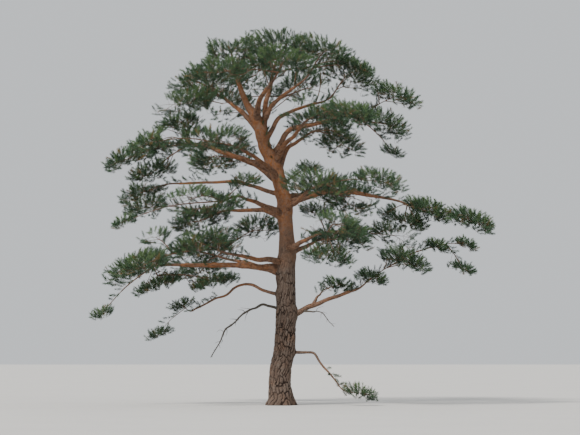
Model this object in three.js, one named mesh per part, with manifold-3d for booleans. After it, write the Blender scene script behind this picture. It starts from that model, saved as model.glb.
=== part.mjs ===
// An old, open-grown pine, ten metres tall: a short leaning trunk with a flared foot, a flat
// domed top and pads of needles held out in layers on nearly level boughs.
// Millimetres. +X is to the right, +Y goes away from the viewer and +Z is up. The origin is
// at the middle of the flat cut under the trunk, at ground level.
import * as THREE from 'three';
import { mergeVertices } from 'three/addons/utils/BufferGeometryUtils.js';
import Module from 'manifold-3d';

const wasm = await Module();
wasm.setup();

const SEED = 4423;
const UP = new THREE.Vector3(0, 0, 1);

// Gaps: where one piece meets the next, and between foliage and whatever it passes.
const JOINT_GAP = 0.3;
const FOLIAGE_GAP = 6;
const NEIGHBOUR_GAP = 15;

// A limb is swollen by this many gaps before it is cut out of another piece, because the flat
// sides of its facets lie nearer to its middle line than their corners do.
const GAP_ALLOWANCE = 1.2;

// Edges finer than this are dropped once a mass is joined.
const SLIVER = 1;

// The trunk's middle line and thickness at each height: [height, right, away, diameter].
const TRUNK_LINE = [
  [0, 0, 0, 800],
  [170, 0, 0, 690],
  [500, -28, 10, 590],
  [1000, 5, 25, 560],
  [1500, 105, 40, 550],
  [2450, 147, 30, 530],
  [3400, 150, 60, 480],
  [4400, 156, 95, 400],
  [5340, 90, 90, 340],
  [6110, -57, 50, 310],
  [6890, -425, 10, 270],
  [7500, -580, -30, 225],
  [8090, -930, -160, 160],
  [8650, -1150, -350, 105],
];
const TRUNK_SIDES = 14;
const TRUNK_RINGS = 26;
const FLARE_HEIGHT = 420;
const FLARE_LOBES = 5;
const FLARE_DEPTH = 0.16;
const FLARE_TURN = 0.6;
const TRUNK_RIDGES = 3;
const TRUNK_RIDGE_DEPTH = 0.035;
const TRUNK_TWIST_HEIGHT = 700;

// A bough's thickness follows from the foliage that it carries.
const BOUGH_SIDES = 7;
const BOUGH_RING_SPACING = 420;
const BOUGH_LEAST_RINGS = 4;
const BOUGH_LEAST_RADIUS = 14;
const BOUGH_RADIUS_PER_METRE = 56;
const BOUGH_TIP_SHARE = 0.46;
const BOUGH_TAPER = 0.8;
const BOUGH_CROOK = 0.035;
const BOUGH_ARCH = [-0.6, 1.4];
const COLLAR_SWELL = 0.3;
const COLLAR_START = 150;
const COLLAR_LENGTH = 160;
const DEAD_TIP_SHARE = 0.3;

// The half widths of a pad of foliage: to the right, away and up.
const PAD = {
  broad: [1250, 1200, 620],
  full: [1080, 1080, 520],
  flat: [1020, 1020, 390],
  small: [820, 860, 400],
  thin: [850, 800, 250],
  tuft: [580, 540, 290],
  clump: [480, 440, 230],
  knot: [430, 410, 210],
};

// Pads hang down outwards, more so the further they are from the trunk: degrees.
const DROOP = { least: 5, perMetre: 4.5, most: 20 };

// Most pads are dense, with a core that their sprays stand out of; these are open twigs.
const OPEN = ['knot'];
const CORE_SHARE = 0.64;
const CORE_UNEVEN = [0.94, 1.1];
const CORE_UNDERSIDE = 0.66;
const GOLDEN_ANGLE = Math.PI * (3 - Math.sqrt(5));
const UNEVEN_TURN = 0.2;

// The woody stem of a mass, inside its foliage, and the limbs of it to its further pads.
const STEM = {
  radius: 0.92,
  rings: 3,
  sides: 5,
  taper: 0.72,
  bendAt: 0.35,
  reachOn: 0.35,
};
const SIDE_STEM = {
  rings: 2,
  sides: 3,
  leavesAt: 0.5,
  nextLeavesAt: 0.6,
  archAt: 0.55,
  archRise: 0.06,
  radius: 0.5,
  taper: 0.3,
};

// The twigs of an open pad: how far they reach, how they rise, where they leave its stem,
// and where on each of them its sprays sit, with the turn of each spray.
const TWIG = {
  reach: 0.62,
  rise: [-0.3, 0.5],
  from: [0.6, 0.97],
  radius: 17,
  sprays: [[0.95, 0], [0.6, 0.8]],
};

// A spray of needles: a thin blade with three teeth, the middle one longest, flat below and
// ridged above. It is tried at each of these sizes in turn. Sprays of wide pads are larger,
// and they go round a pad in a band between two heights.
const SPRAY = {
  length: 500,
  width: 470,
  thickness: 44,
  notchAt: 0.5,
  notchWidth: 0.16,
  toothAt: 0.68,
  ridgeAt: 0.4,
  sunk: 70,
  tries: [1, 0.8, 0.62, 0.46],
  perMetre: 6.8,
  fewest: 6,
  band: [-0.38, 0.92],
  lift: 0.45,
  roll: 0.9,
};
const SPRAY_SIZE = { padFrom: 380, padTo: 1100, from: 0.78, to: 1.3 };

// Every bough: the piece that carries it and the share of the way along it (or the height up
// the trunk) where it leaves, the points that it passes, its tip, and the pads on its stem.
const BOUGHS = [
  { name: 'crown_left', tipOf: 'trunk',
    pads: [['broad', -1300, -560, 9320]] },
  { name: 'crown_middle', on: 'trunk', at: 7100,
    through: [[-420, 110, 8000]], tip: [-230, 260, 8820],
    pads: [['broad', 20, 560, 9550], ['full', -700, 2050, 9060]] },
  { name: 'crown_right', on: 'trunk', at: 7380,
    through: [[-250, -120, 8000]], tip: [360, -380, 8450],
    pads: [['full', 1100, -640, 9320], ['tuft', 2050, -620, 8950]] },
  { name: 'crown_right_shoulder', on: 'trunk', at: 7000,
    through: [[0, 130, 7700]], tip: [940, 520, 8120],
    pads: [['full', 1800, 800, 8920]] },
  { name: 'crown_left_shoulder', on: 'trunk', at: 7250,
    through: [[-1080, 160, 7900]], tip: [-1400, 420, 8150],
    pads: [['full', -2080, 760, 8650], ['full', -2380, -900, 7960]] },
  { name: 'crown_front', on: 'trunk', at: 7600,
    through: [[-560, -680, 8080]], tip: [-330, -1230, 8350],
    pads: [['full', 60, -2200, 8880], ['full', -1580, -2250, 8620]] },
  { name: 'crown_back', on: 'trunk', at: 6780,
    through: [[-420, 900, 7650]], tip: [-300, 1700, 8080],
    pads: [['full', 620, 2550, 8720], ['full', -1620, 2550, 8320]] },

  { name: 'right_upper', on: 'trunk', at: 6560,
    through: [[250, 60, 7350]], tip: [1320, 160, 7620],
    pads: [['full', 2580, 240, 7560], ['small', 3060, -450, 8200], ['knot', 3000, 520, 6820]] },
  { name: 'right_upper_front', on: 'trunk', at: 6360,
    through: [[150, -520, 6950]], tip: [500, -1050, 7280],
    pads: [['full', 980, -1850, 7560], ['small', 1750, -3320, 7450]] },
  { name: 'right_upper_back', on: 'trunk', at: 6160,
    through: [[200, 620, 6850]], tip: [600, 1250, 7240],
    pads: [['full', 1100, 2050, 7560], ['small', 1700, 3400, 7250]] },
  { name: 'left_upper', on: 'trunk', at: 6250,
    through: [[-1150, 60, 6600]], tip: [-1750, 200, 6830],
    pads: [['full', -2780, 380, 7020], ['small', -4050, -180, 6560], ['small', -3500, 800, 6240],
      ['thin', -2680, 620, 7640]] },
  { name: 'left_upper_front', on: 'trunk', at: 6000,
    through: [[-500, -600, 6450]], tip: [-950, -1080, 6680],
    pads: [['full', -1650, -1750, 6850], ['small', -3250, -2500, 6800]] },
  { name: 'left_upper_back', on: 'trunk', at: 5820,
    through: [[-480, 700, 6300]], tip: [-950, 1380, 6600],
    pads: [['full', -1650, 2200, 6820], ['small', -1900, 3420, 6780]] },
  { name: 'right_small', on: 'trunk', at: 5900,
    tip: [420, -120, 6150],
    pads: [['knot', 780, -200, 6330]] },

  { name: 'left_middle', on: 'trunk', at: 5600,
    through: [[-1000, 260, 5960]], tip: [-2750, 620, 5950],
    pads: [['small', -3680, 820, 5740]] },
  { name: 'left_middle_front', on: 'trunk', at: 5050,
    through: [[-560, -620, 5330]], tip: [-900, -1050, 5420],
    pads: [['flat', -1850, -1750, 5150], ['knot', -4100, -1500, 4800], ['small', -2300, -3320, 5260],
      ['tuft', -900, -1500, 5850]] },
  { name: 'left_middle_back', on: 'trunk', at: 4900,
    through: [[-600, 850, 5250]], tip: [-1300, 1600, 5280],
    pads: [['flat', -2250, 2300, 5040], ['small', -3750, 2450, 5420]] },
  { name: 'right_middle_front', on: 'trunk', at: 5150,
    through: [[450, -520, 5400]], tip: [620, -1080, 5540],
    pads: [['full', 950, -2050, 5700], ['small', 2520, -2900, 5760]] },
  { name: 'right_middle', on: 'trunk', at: 5300,
    through: [[1300, 160, 5700]], tip: [2600, 160, 5560],
    pads: [['small', 3900, 60, 5180], ['small', 5080, 0, 4900], ['small', 3350, 700, 4980]] },
  { name: 'right_middle_back', on: 'trunk', at: 5420,
    through: [[500, 500, 5650]], tip: [920, 1050, 5720],
    pads: [['full', 1750, 1900, 5700], ['small', 1900, 3380, 5560]] },
  { name: 'right_lower_front', on: 'trunk', at: 4100,
    through: [[400, -420, 4220]], tip: [760, -900, 4400],
    pads: [['flat', 1500, -1650, 4560], ['small', 1450, -3280, 4600], ['small', 1250, -1150, 3900]] },
  { name: 'right_lower_back', on: 'trunk', at: 3900,
    through: [[450, 550, 4150]], tip: [860, 1250, 4370],
    pads: [['flat', 1600, 2100, 4520], ['small', 3050, 2350, 4640], ['tuft', 950, 1300, 5260]] },

  { name: 'right_low', on: 'trunk', at: 2330,
    through: [[1150, -60, 2760]], tip: [1850, -200, 3020],
    pads: [['tuft', 2420, -420, 3380], ['small', 3250, -560, 3830], ['clump', 4160, -400, 4220],
      ['knot', 4940, -200, 4290], ['clump', 4820, -420, 3640]] },
  { name: 'right_low_spur', on: 'right_low', at: 0.42,
    through: [[980, 160, 2900]], tip: [1080, 280, 2990],
    pads: [['tuft', 1540, 420, 3200]] },
  { name: 'left_low', on: 'trunk', at: 3580,
    through: [[-700, -60, 3690], [-1600, -140, 3720]], tip: [-2650, -240, 3720],
    pads: [['full', -3760, -320, 3640], ['knot', -4720, -420, 2450], ['thin', -3250, 480, 3250],
      ['thin', -1780, 300, 3300]] },
  { name: 'left_low_front', on: 'trunk', at: 3780,
    through: [[-600, -640, 3860]], tip: [-1080, -1120, 3940],
    pads: [['full', -1980, -1900, 4200], ['small', -3450, -2500, 3660], ['tuft', -3250, -1500, 4400]] },
  { name: 'left_low_back', on: 'trunk', at: 3350,
    through: [[-560, 720, 3680]], tip: [-1150, 1380, 3880],
    pads: [['full', -2120, 2100, 4150], ['small', -2250, 3420, 3700], ['small', -640, 1600, 4800]] },
  { name: 'left_bottom', on: 'trunk', at: 2900,
    through: [[-980, 330, 3240], [-1900, 620, 2760]], tip: [-2330, 760, 2560],
    pads: [['knot', -2680, 860, 2700], ['clump', -3300, 1000, 1920]] },
  { name: 'right_bottom', on: 'trunk', at: 1400,
    through: [[860, -120, 1380], [1250, -220, 900]], tip: [1530, -280, 560],
    pads: [['tuft', 2100, -360, 330]] },
];

// Dead limbs with no foliage, given as the boughs are, with their radius where they start.
const DEAD_WOOD = [
  { name: 'dead_left_hook', on: 'trunk', at: 2500, radius: 42,
    through: [[-490, -160, 2670], [-980, -240, 2430], [-1460, -280, 1990]],
    tip: [-1850, -300, 1270] },
  { name: 'dead_right_spur', on: 'right_low', at: 0.24, radius: 22,
    through: [[1050, -330, 2480]], tip: [1420, -480, 2080] },
];

const COLOURS = {
  bark: { color: 0x7a5a45, roughness: 0.9, metalness: 0 },
  deadWood: { color: 0x8b8378, roughness: 0.85, metalness: 0 },
  needles: { color: 0x3f5a38, roughness: 0.7, metalness: 0 },
};

// A random number maker that always gives the same run of numbers for the same seed.
function seededRandom(seed) {
  let state = seed >>> 0;
  return () => {
    state = (state + 0x6d2b79f5) >>> 0;
    let mixed = Math.imul(state ^ (state >>> 15), 1 | state);
    mixed = (mixed + Math.imul(mixed ^ (mixed >>> 7), 61 | mixed)) ^ mixed;
    return ((mixed ^ (mixed >>> 14)) >>> 0) / 4294967296;
  };
}

const vector = ([x, y, z]) => new THREE.Vector3(x, y, z);
const between = (random, low, high) => low + (high - low) * random();

// Two unit vectors square to a direction, the first one level where it can be.
function crossAxes(direction) {
  const steep = Math.abs(direction.z) > 0.97;
  const side = new THREE.Vector3().crossVectors(direction, steep ? new THREE.Vector3(1, 0, 0) : UP);
  side.normalize();
  return [side, new THREE.Vector3().crossVectors(side, direction).normalize()];
}

function solidFrom(positions, triangles) {
  const geometry = new THREE.BufferGeometry();
  geometry.setAttribute('position', new THREE.Float32BufferAttribute(positions, 3));
  geometry.setIndex(triangles);
  const merged = mergeVertices(geometry, 1e-3);
  return new wasm.Manifold(new wasm.Mesh({
    numProp: 3,
    vertProperties: merged.getAttribute('position').array,
    triVerts: new Uint32Array(merged.getIndex().array),
  }));
}

// The largest body of a solid: loose scraps and sealed hollows are left out.
function largestBody(solid) {
  const bodies = solid.decompose();
  return bodies.reduce((best, body) => (body.volume() > best.volume() ? body : best));
}

const join = (solids) => wasm.Manifold.union(solids);

// A closed tube through rings of points. radiusAt(share, angle) gives the distance from the
// middle line, and the ends are flat fans.
function tube(curve, rings, sides, radiusAt) {
  const positions = [];
  const triangles = [];
  const level = curve.getPointAt(0).z === 0;
  let [side, over] = crossAxes(curve.getTangentAt(0));
  for (let ring = 0; ring <= rings; ring += 1) {
    const share = ring / rings;
    const centre = curve.getPointAt(share);
    const tangent = curve.getTangentAt(share);
    over = new THREE.Vector3().crossVectors(side, tangent).normalize();
    side = new THREE.Vector3().crossVectors(tangent, over).normalize();
    for (let corner = 0; corner < sides; corner += 1) {
      const angle = (2 * Math.PI * corner) / sides;
      const radius = radiusAt(share, angle);
      const point = centre.clone()
        .addScaledVector(side, radius * Math.cos(angle))
        .addScaledVector(over, -radius * Math.sin(angle));
      positions.push(point.x, point.y, level && ring === 0 ? 0 : point.z);
    }
  }
  for (let ring = 0; ring < rings; ring += 1) {
    for (let corner = 0; corner < sides; corner += 1) {
      const here = ring * sides + corner;
      const next = ring * sides + ((corner + 1) % sides);
      triangles.push(here, next, next + sides, here, next + sides, here + sides);
    }
  }
  const lastRing = rings * sides;
  for (let corner = 1; corner < sides - 1; corner += 1) {
    triangles.push(0, corner + 1, corner);
    triangles.push(lastRing, lastRing + corner, lastRing + corner + 1);
  }
  return solidFrom(positions, triangles);
}

function trunkCurve() {
  const points = TRUNK_LINE.map(([height, right, away]) => new THREE.Vector3(right, away, height));
  return new THREE.CatmullRomCurve3(points, false, 'centripetal');
}

function trunkRadius(height) {
  const above = Math.max(1, TRUNK_LINE.findIndex(([level]) => level >= height));
  const [lowHeight, , , lowDiameter] = TRUNK_LINE[above - 1];
  const [highHeight, , , highDiameter] = TRUNK_LINE[above];
  const share = THREE.MathUtils.clamp((height - lowHeight) / (highHeight - lowHeight), 0, 1);
  return THREE.MathUtils.lerp(lowDiameter, highDiameter, share) / 2;
}

// The trunk as a limb: its curve, and its radius at a share of its length.
function makeTrunk() {
  const curve = trunkCurve();
  const radiusAt = (share, angle) => {
    const height = curve.getPointAt(share).z;
    const flare = Math.max(0, 1 - height / FLARE_HEIGHT);
    const lobes = 1 + FLARE_DEPTH * flare * Math.cos(FLARE_LOBES * angle + FLARE_TURN);
    const twist = height / TRUNK_TWIST_HEIGHT;
    const uneven = 1 + TRUNK_RIDGE_DEPTH * Math.sin(TRUNK_RIDGES * angle + twist);
    return trunkRadius(height) * lobes * uneven;
  };
  return { name: 'trunk', curve, rings: TRUNK_RINGS, sides: TRUNK_SIDES, radiusAt };
}

// A point of a limb's middle line: the trunk's by height, a bough's by share of its length.
function pointOn(limb, at) {
  if (limb.name !== 'trunk') {
    return limb.curve.getPointAt(at);
  }
  const steps = 400;
  for (let step = 0; step <= steps; step += 1) {
    const point = limb.curve.getPointAt(step / steps);
    if (point.z >= at) {
      return point;
    }
  }
  return limb.curve.getPointAt(1);
}

// One tapering limb from the middle of its carrier to its tip, a little crooked between the
// points that it passes.
function makeLimb(row, carrier, baseRadius, tipRadius, random) {
  const root = pointOn(carrier, row.at);
  const passed = (row.through ?? []).map(vector);
  const points = [root, ...passed, vector(row.tip)];
  const crooked = [root];
  for (let i = 1; i < points.length; i += 1) {
    const span = points[i].distanceTo(points[i - 1]);
    const middle = points[i].clone().lerp(points[i - 1], 0.5);
    middle.x += BOUGH_CROOK * span * between(random, -1, 1);
    middle.y += BOUGH_CROOK * span * between(random, -1, 1);
    middle.z += BOUGH_CROOK * span * between(random, ...BOUGH_ARCH);
    crooked.push(middle, points[i]);
  }
  const curve = new THREE.CatmullRomCurve3(crooked, false, 'centripetal');
  const length = curve.getLength();
  const radiusAt = (share) => {
    const past = Math.max(0, share * length - COLLAR_START);
    const collar = 1 + COLLAR_SWELL * Math.exp(-past / COLLAR_LENGTH);
    return THREE.MathUtils.lerp(baseRadius, tipRadius, share ** BOUGH_TAPER) * collar;
  };
  const rings = Math.max(BOUGH_LEAST_RINGS, Math.round(length / BOUGH_RING_SPACING));
  return { name: row.name, curve, rings, sides: BOUGH_SIDES, radiusAt };
}

function limbSolid(limb, extra = 0) {
  const radiusAt = (share, angle) => limb.radiusAt(share, angle) + extra;
  return tube(limb.curve, limb.rings, limb.sides, radiusAt);
}

const boxesMeet = (a, b, margin) => [0, 1, 2].every(
  (axis) => a.min[axis] - margin < b.max[axis] && b.min[axis] - margin < a.max[axis],
);

// Each limb is cut back from the limbs made before it, so that they meet with a fine gap.
function carveLimbs(limbs) {
  const grown = [];
  for (const limb of limbs) {
    let solid = limbSolid(limb);
    for (const elder of grown) {
      if (boxesMeet(solid.boundingBox(), elder.swollen.boundingBox(), 1)) {
        solid = solid.subtract(elder.swollen);
      }
    }
    limb.solid = largestBody(solid);
    limb.swollen = limbSolid(limb, JOINT_GAP * GAP_ALLOWANCE);
    grown.push(limb);
  }
}

// How far a pad reaches from its heart in one direction.
function extentAlong(pad, normal) {
  const { x, y, z } = normal.clone().applyQuaternion(pad.droop.clone().invert());
  const [a, b, c] = pad.reach;
  return Math.hypot(a * x, b * y, c * z);
}

// The plane that parts two pads, square to the line that separates them best.
function partingPlane(pad, other) {
  const apart = other.heart.clone().sub(pad.heart);
  const normal = new THREE.Vector3(
    apart.x / (pad.reach[0] + other.reach[0]) ** 2,
    apart.y / (pad.reach[1] + other.reach[1]) ** 2,
    apart.z / (pad.reach[2] + other.reach[2]) ** 2,
  ).normalize();
  const share = extentAlong(pad, normal) / (extentAlong(pad, normal) + extentAlong(other, normal));
  const offset = normal.dot(pad.heart) + share * normal.dot(apart) - NEIGHBOUR_GAP / 2;
  return { normal, offset };
}

function addPartingPlanes(pads) {
  for (const pad of pads) {
    const near = pads.filter((other) => other !== pad && other.mass !== pad.mass
      && boxesMeet(pad.box, other.box, 0));
    pad.planes = near.map((other) => partingPlane(pad, other));
  }
}

// From a pad's own drooping axes to the tree's, and back.
const placeInPad = (pad, local) => local.clone().applyQuaternion(pad.droop).add(pad.heart);
const localToPad = (pad, point) => point.clone().sub(pad.heart)
  .applyQuaternion(pad.droop.clone().invert());

const insidePad = (pad, point) => {
  const [a, b, c] = pad.reach;
  const { x, y, z } = localToPad(pad, point);
  return (x / a) ** 2 + (y / b) ** 2 + (z / c) ** 2 <= 1
    && pad.planes.every(({ normal, offset }) => normal.dot(point) <= offset);
};

// A slim pointed twig with three sides.
function twigSolid(from, to, radius) {
  const along = to.clone().sub(from).normalize();
  const [side, over] = crossAxes(along);
  const positions = [];
  for (let corner = 0; corner < 3; corner += 1) {
    const angle = (2 * Math.PI * corner) / 3;
    const point = from.clone()
      .addScaledVector(side, radius * Math.cos(angle))
      .addScaledVector(over, radius * Math.sin(angle));
    positions.push(point.x, point.y, point.z);
  }
  positions.push(to.x, to.y, to.z);
  return solidFrom(positions, [0, 1, 2, 0, 3, 1, 1, 3, 2, 2, 3, 0]);
}

// The corners of a spray's blade: its root, its teeth and notches, and last the high point
// of its ridge.
function sprayCorners(root, along, side, size) {
  const length = SPRAY.length * size;
  const width = SPRAY.width * size;
  const flat = new THREE.Vector3().crossVectors(along, side);
  const place = (forward, across, up) => root.clone()
    .addScaledVector(along, forward - SPRAY.sunk)
    .addScaledVector(side, across)
    .addScaledVector(flat, up);
  return [
    place(0, 0, 0),
    place(length * SPRAY.toothAt, width / 2, 0),
    place(length * SPRAY.notchAt, width * SPRAY.notchWidth, 0),
    place(length + SPRAY.sunk, 0, 0),
    place(length * SPRAY.notchAt, -width * SPRAY.notchWidth, 0),
    place(length * SPRAY.toothAt, -width / 2, 0),
    place(length * SPRAY.ridgeAt, 0, SPRAY.thickness),
  ];
}

// The flat underside is three blades, one for each tooth.
const SPRAY_UNDERSIDE = [0, 1, 2, 0, 2, 4, 2, 3, 4, 0, 4, 5];

function spraySolid(corners) {
  const ridge = corners.length - 1;
  const triangles = [...SPRAY_UNDERSIDE];
  for (let corner = 0; corner < ridge; corner += 1) {
    triangles.push(ridge, (corner + 1) % ridge, corner);
  }
  return solidFrom(corners.flatMap((point) => point.toArray()), triangles);
}

// The dense heart of a pad: a faceted lump, flatter below, pulled in wherever a neighbouring
// pad is near. Its corners and facets are kept for the sprays that grow from it.
function coreShape(pad) {
  const ball = mergeVertices(positionsOnly(new THREE.IcosahedronGeometry(1, 0)), 1e-4);
  const points = ball.getAttribute('position');
  const turn = between(pad.random, 0, 2 * Math.PI);
  const corners = [];
  for (let i = 0; i < points.count; i += 1) {
    const unit = new THREE.Vector3().fromBufferAttribute(points, i).applyAxisAngle(UP, turn);
    const spread = new THREE.Vector3(
      unit.x * pad.reach[0],
      unit.y * pad.reach[1],
      unit.z * pad.reach[2] * (unit.z < 0 ? CORE_UNDERSIDE : 1),
    ).multiplyScalar(CORE_SHARE * between(pad.random, ...CORE_UNEVEN)).applyQuaternion(pad.droop);
    let shrink = 1;
    for (const { normal, offset } of pad.planes) {
      const reach = normal.dot(spread);
      const room = Math.max(0, offset - NEIGHBOUR_GAP - normal.dot(pad.heart));
      if (reach > room) {
        shrink = Math.min(shrink, room / reach);
      }
    }
    corners.push(pad.heart.clone().addScaledVector(spread, shrink));
  }
  return { corners, facets: Array.from(ball.getIndex().array) };
}

// Where a line from the pad's heart comes out of its core.
function coreSurface(pad, direction) {
  const { corners, facets } = pad.core;
  const ray = new THREE.Ray(pad.heart, direction);
  for (let i = 0; i < facets.length; i += 3) {
    const [a, b, c] = [0, 1, 2].map((corner) => corners[facets[i + corner]]);
    const hit = ray.intersectTriangle(a, b, c, false, new THREE.Vector3());
    if (hit) {
      return hit;
    }
  }
  return pad.heart.clone();
}

function positionsOnly(geometry) {
  geometry.deleteAttribute('normal');
  geometry.deleteAttribute('uv');
  return geometry;
}

// The woody middle of a mass: one stem that goes on from the bough's tip to the first pad,
// and a limb of it to each other pad. It is made a second time a little thicker, to be cut
// out of the masses that it passes.
function growStem(mass) {
  const { start, direction, radius, pads } = mass;
  const [first, ...further] = pads;
  const reachOn = first.heart.clone().sub(start).normalize()
    .multiply(vector(first.reach)).multiplyScalar(STEM.reachOn);
  const bend = start.clone()
    .addScaledVector(direction, start.distanceTo(first.heart) * STEM.bendAt);
  first.axis = new THREE.CatmullRomCurve3(
    [start, bend, first.heart.clone(), first.heart.clone().add(reachOn)],
    false,
    'centripetal',
  );
  for (const pad of further) {
    const carrier = nearestPad(pad, pads.slice(0, pads.indexOf(pad)));
    const leavesAt = carrier === first ? SIDE_STEM.leavesAt : SIDE_STEM.nextLeavesAt;
    const leave = carrier.axis.getPointAt(leavesAt);
    const arch = leave.clone().lerp(pad.heart, SIDE_STEM.archAt);
    arch.z += SIDE_STEM.archRise * leave.distanceTo(pad.heart);
    pad.axis = new THREE.CatmullRomCurve3([leave, arch, pad.heart.clone()], false, 'centripetal');
  }
  const stemSolid = (extra) => {
    const stemRadius = (share) => radius * (1 - STEM.taper * share) + extra;
    const limbRadius = (share) => radius * (SIDE_STEM.radius - SIDE_STEM.taper * share) + extra;
    return join([
      tube(first.axis, STEM.rings, STEM.sides, stemRadius),
      ...further.map(({ axis }) => tube(axis, SIDE_STEM.rings, SIDE_STEM.sides, limbRadius)),
    ]);
  };
  mass.stem = stemSolid(0);
  mass.swollen = stemSolid(FOLIAGE_GAP);
}

const nearestPad = (pad, others) => others.reduce(
  (best, other) => (other.heart.distanceTo(pad.heart) < best.heart.distanceTo(pad.heart)
    ? other : best),
);

const sprayCount = ({ reach: [a, b] }) => Math.round(
  Math.max(SPRAY.fewest, SPRAY.perMetre * Math.sqrt((a * b) / 1e6)),
);

const spraySize = ({ reach: [a, b] }) => {
  const { padFrom, padTo, from, to } = SPRAY_SIZE;
  return THREE.MathUtils.mapLinear((a + b) / 2, padFrom, padTo, from, to);
};

// The sprays of a dense pad go round its core by the golden angle, few of them below.
function growDensePad(pad, clear) {
  const { random, reach } = pad;
  const count = sprayCount(pad);
  const start = between(random, 0, 2 * Math.PI);
  const grown = [];
  for (let spray = 0; spray < count; spray += 1) {
    const height = THREE.MathUtils.lerp(...SPRAY.band, (spray + 0.5) / count);
    const angle = start + spray * GOLDEN_ANGLE + between(random, -UNEVEN_TURN, UNEVEN_TURN);
    const round = Math.sqrt(1 - height * height);
    const outward = new THREE.Vector3(
      round * Math.cos(angle) * reach[0],
      round * Math.sin(angle) * reach[1],
      height * reach[2],
    ).normalize().applyQuaternion(pad.droop);
    const root = coreSurface(pad, outward);
    const heading = outward.clone();
    heading.z += between(random, 0, SPRAY.lift);
    addSpray(pad, grown, root, heading.normalize(), spraySize(pad), clear);
  }
  return grown;
}

// The twigs of an open pad go round its middle line, each with a spray at its tip and
// another beside it.
function growOpenPad(pad, clear) {
  const { random, reach } = pad;
  const size = spraySize(pad);
  const twigCount = Math.round(sprayCount(pad) / 2);
  const start = between(random, 0, 2 * Math.PI);
  const grown = [];
  for (let twig = 0; twig < twigCount; twig += 1) {
    const angle = start + twig * GOLDEN_ANGLE + between(random, -UNEVEN_TURN, UNEVEN_TURN);
    const to = placeInPad(pad, new THREE.Vector3(
      Math.cos(angle) * reach[0] * TWIG.reach,
      Math.sin(angle) * reach[1] * TWIG.reach,
      reach[2] * between(random, ...TWIG.rise),
    ));
    const from = pad.axis.getPointAt(THREE.MathUtils.lerp(...TWIG.from, (twig + 0.5) / twigCount));
    const solid = twigSolid(from, to, TWIG.radius * size);
    if (!insidePad(pad, to) || !clear(solid)) {
      continue;
    }
    grown.push(solid);
    const along = to.clone().sub(from).normalize();
    const hand = twig % 2 ? 1 : -1;
    for (const [share, turn] of TWIG.sprays) {
      const uneven = between(random, -UNEVEN_TURN, UNEVEN_TURN);
      const heading = along.clone().applyAxisAngle(UP, hand * turn + uneven);
      heading.z += between(random, 0, SPRAY.lift);
      addSpray(pad, grown, from.clone().lerp(to, share), heading.normalize(), size, clear);
    }
  }
  return grown;
}

// A spray that would leave the pad's space is tried shorter, and left out if it still would.
function addSpray(pad, grown, root, heading, size, clear) {
  const [level] = crossAxes(heading);
  const side = level.applyAxisAngle(heading, between(pad.random, -SPRAY.roll, SPRAY.roll));
  for (const share of SPRAY.tries) {
    const corners = sprayCorners(root, heading, side, size * share);
    if (!corners.every((corner) => insidePad(pad, corner))) {
      continue;
    }
    const solid = spraySolid(corners);
    if (clear(solid)) {
      grown.push(solid);
      return;
    }
  }
}

function growMass(mass, obstacles) {
  const near = obstacles.filter(({ owner }) => owner !== mass.name);
  const boxes = near.map(({ solid }) => solid.boundingBox());
  const clear = (solid) => {
    const box = solid.boundingBox();
    return near.every(({ solid: other }, i) => !boxesMeet(box, boxes[i], FOLIAGE_GAP)
      || solid.minGap(other, FOLIAGE_GAP) >= FOLIAGE_GAP);
  };
  const parts = [mass.stem];
  for (const pad of mass.pads) {
    if (OPEN.includes(pad.kind)) {
      parts.push(...growOpenPad(pad, clear));
      continue;
    }
    pad.core = coreShape(pad);
    let core = solidFrom(pad.core.corners.flatMap((point) => point.toArray()), pad.core.facets);
    for (const { solid, swollen } of near) {
      if (boxesMeet(core.boundingBox(), solid.boundingBox(), FOLIAGE_GAP)) {
        core = core.subtract(swollen);
      }
    }
    parts.push(core, ...growDensePad(pad, clear));
  }
  return largestBody(join(parts).simplify(SLIVER));
}

// A named mesh whose own origin is where the piece is joined on.
function meshFrom(name, solid, origin, material) {
  const local = solid.translate([-origin.x, -origin.y, -origin.z]).getMesh();
  const geometry = new THREE.BufferGeometry();
  const positions = new Float32Array(local.vertProperties);
  geometry.setAttribute('position', new THREE.BufferAttribute(positions, 3));
  geometry.setIndex(new THREE.BufferAttribute(new Uint32Array(local.triVerts), 1));
  geometry.computeVertexNormals();
  const mesh = new THREE.Mesh(geometry, new THREE.MeshStandardMaterial(material));
  mesh.name = name;
  mesh.position.copy(origin);
  return mesh;
}

function makePads(row, index, trunk) {
  return row.pads.map(([kind, x, y, z], number) => {
    const heart = new THREE.Vector3(x, y, z);
    const outward = heart.clone().sub(pointOn(trunk, z)).setZ(0);
    const angle = Math.min(DROOP.most, DROOP.least + DROOP.perMetre * outward.length() / 1000);
    const hinge = new THREE.Vector3().crossVectors(UP, outward).normalize();
    const droop = new THREE.Quaternion().setFromAxisAngle(hinge, THREE.MathUtils.degToRad(angle));
    const random = seededRandom(SEED + 100 * index + number);
    const pad = { kind, mass: row.name, heart, reach: PAD[kind], droop, random };
    const half = [[1, 0, 0], [0, 1, 0], [0, 0, 1]].map((axis) => extentAlong(pad, vector(axis)));
    pad.box = {
      min: heart.toArray().map((value, axis) => value - half[axis]),
      max: heart.toArray().map((value, axis) => value + half[axis]),
    };
    return pad;
  });
}

const foliageArea = (pads) => pads.reduce((sum, { reach: [a, b] }) => sum + (a * b) / 1e6, 0);

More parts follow.
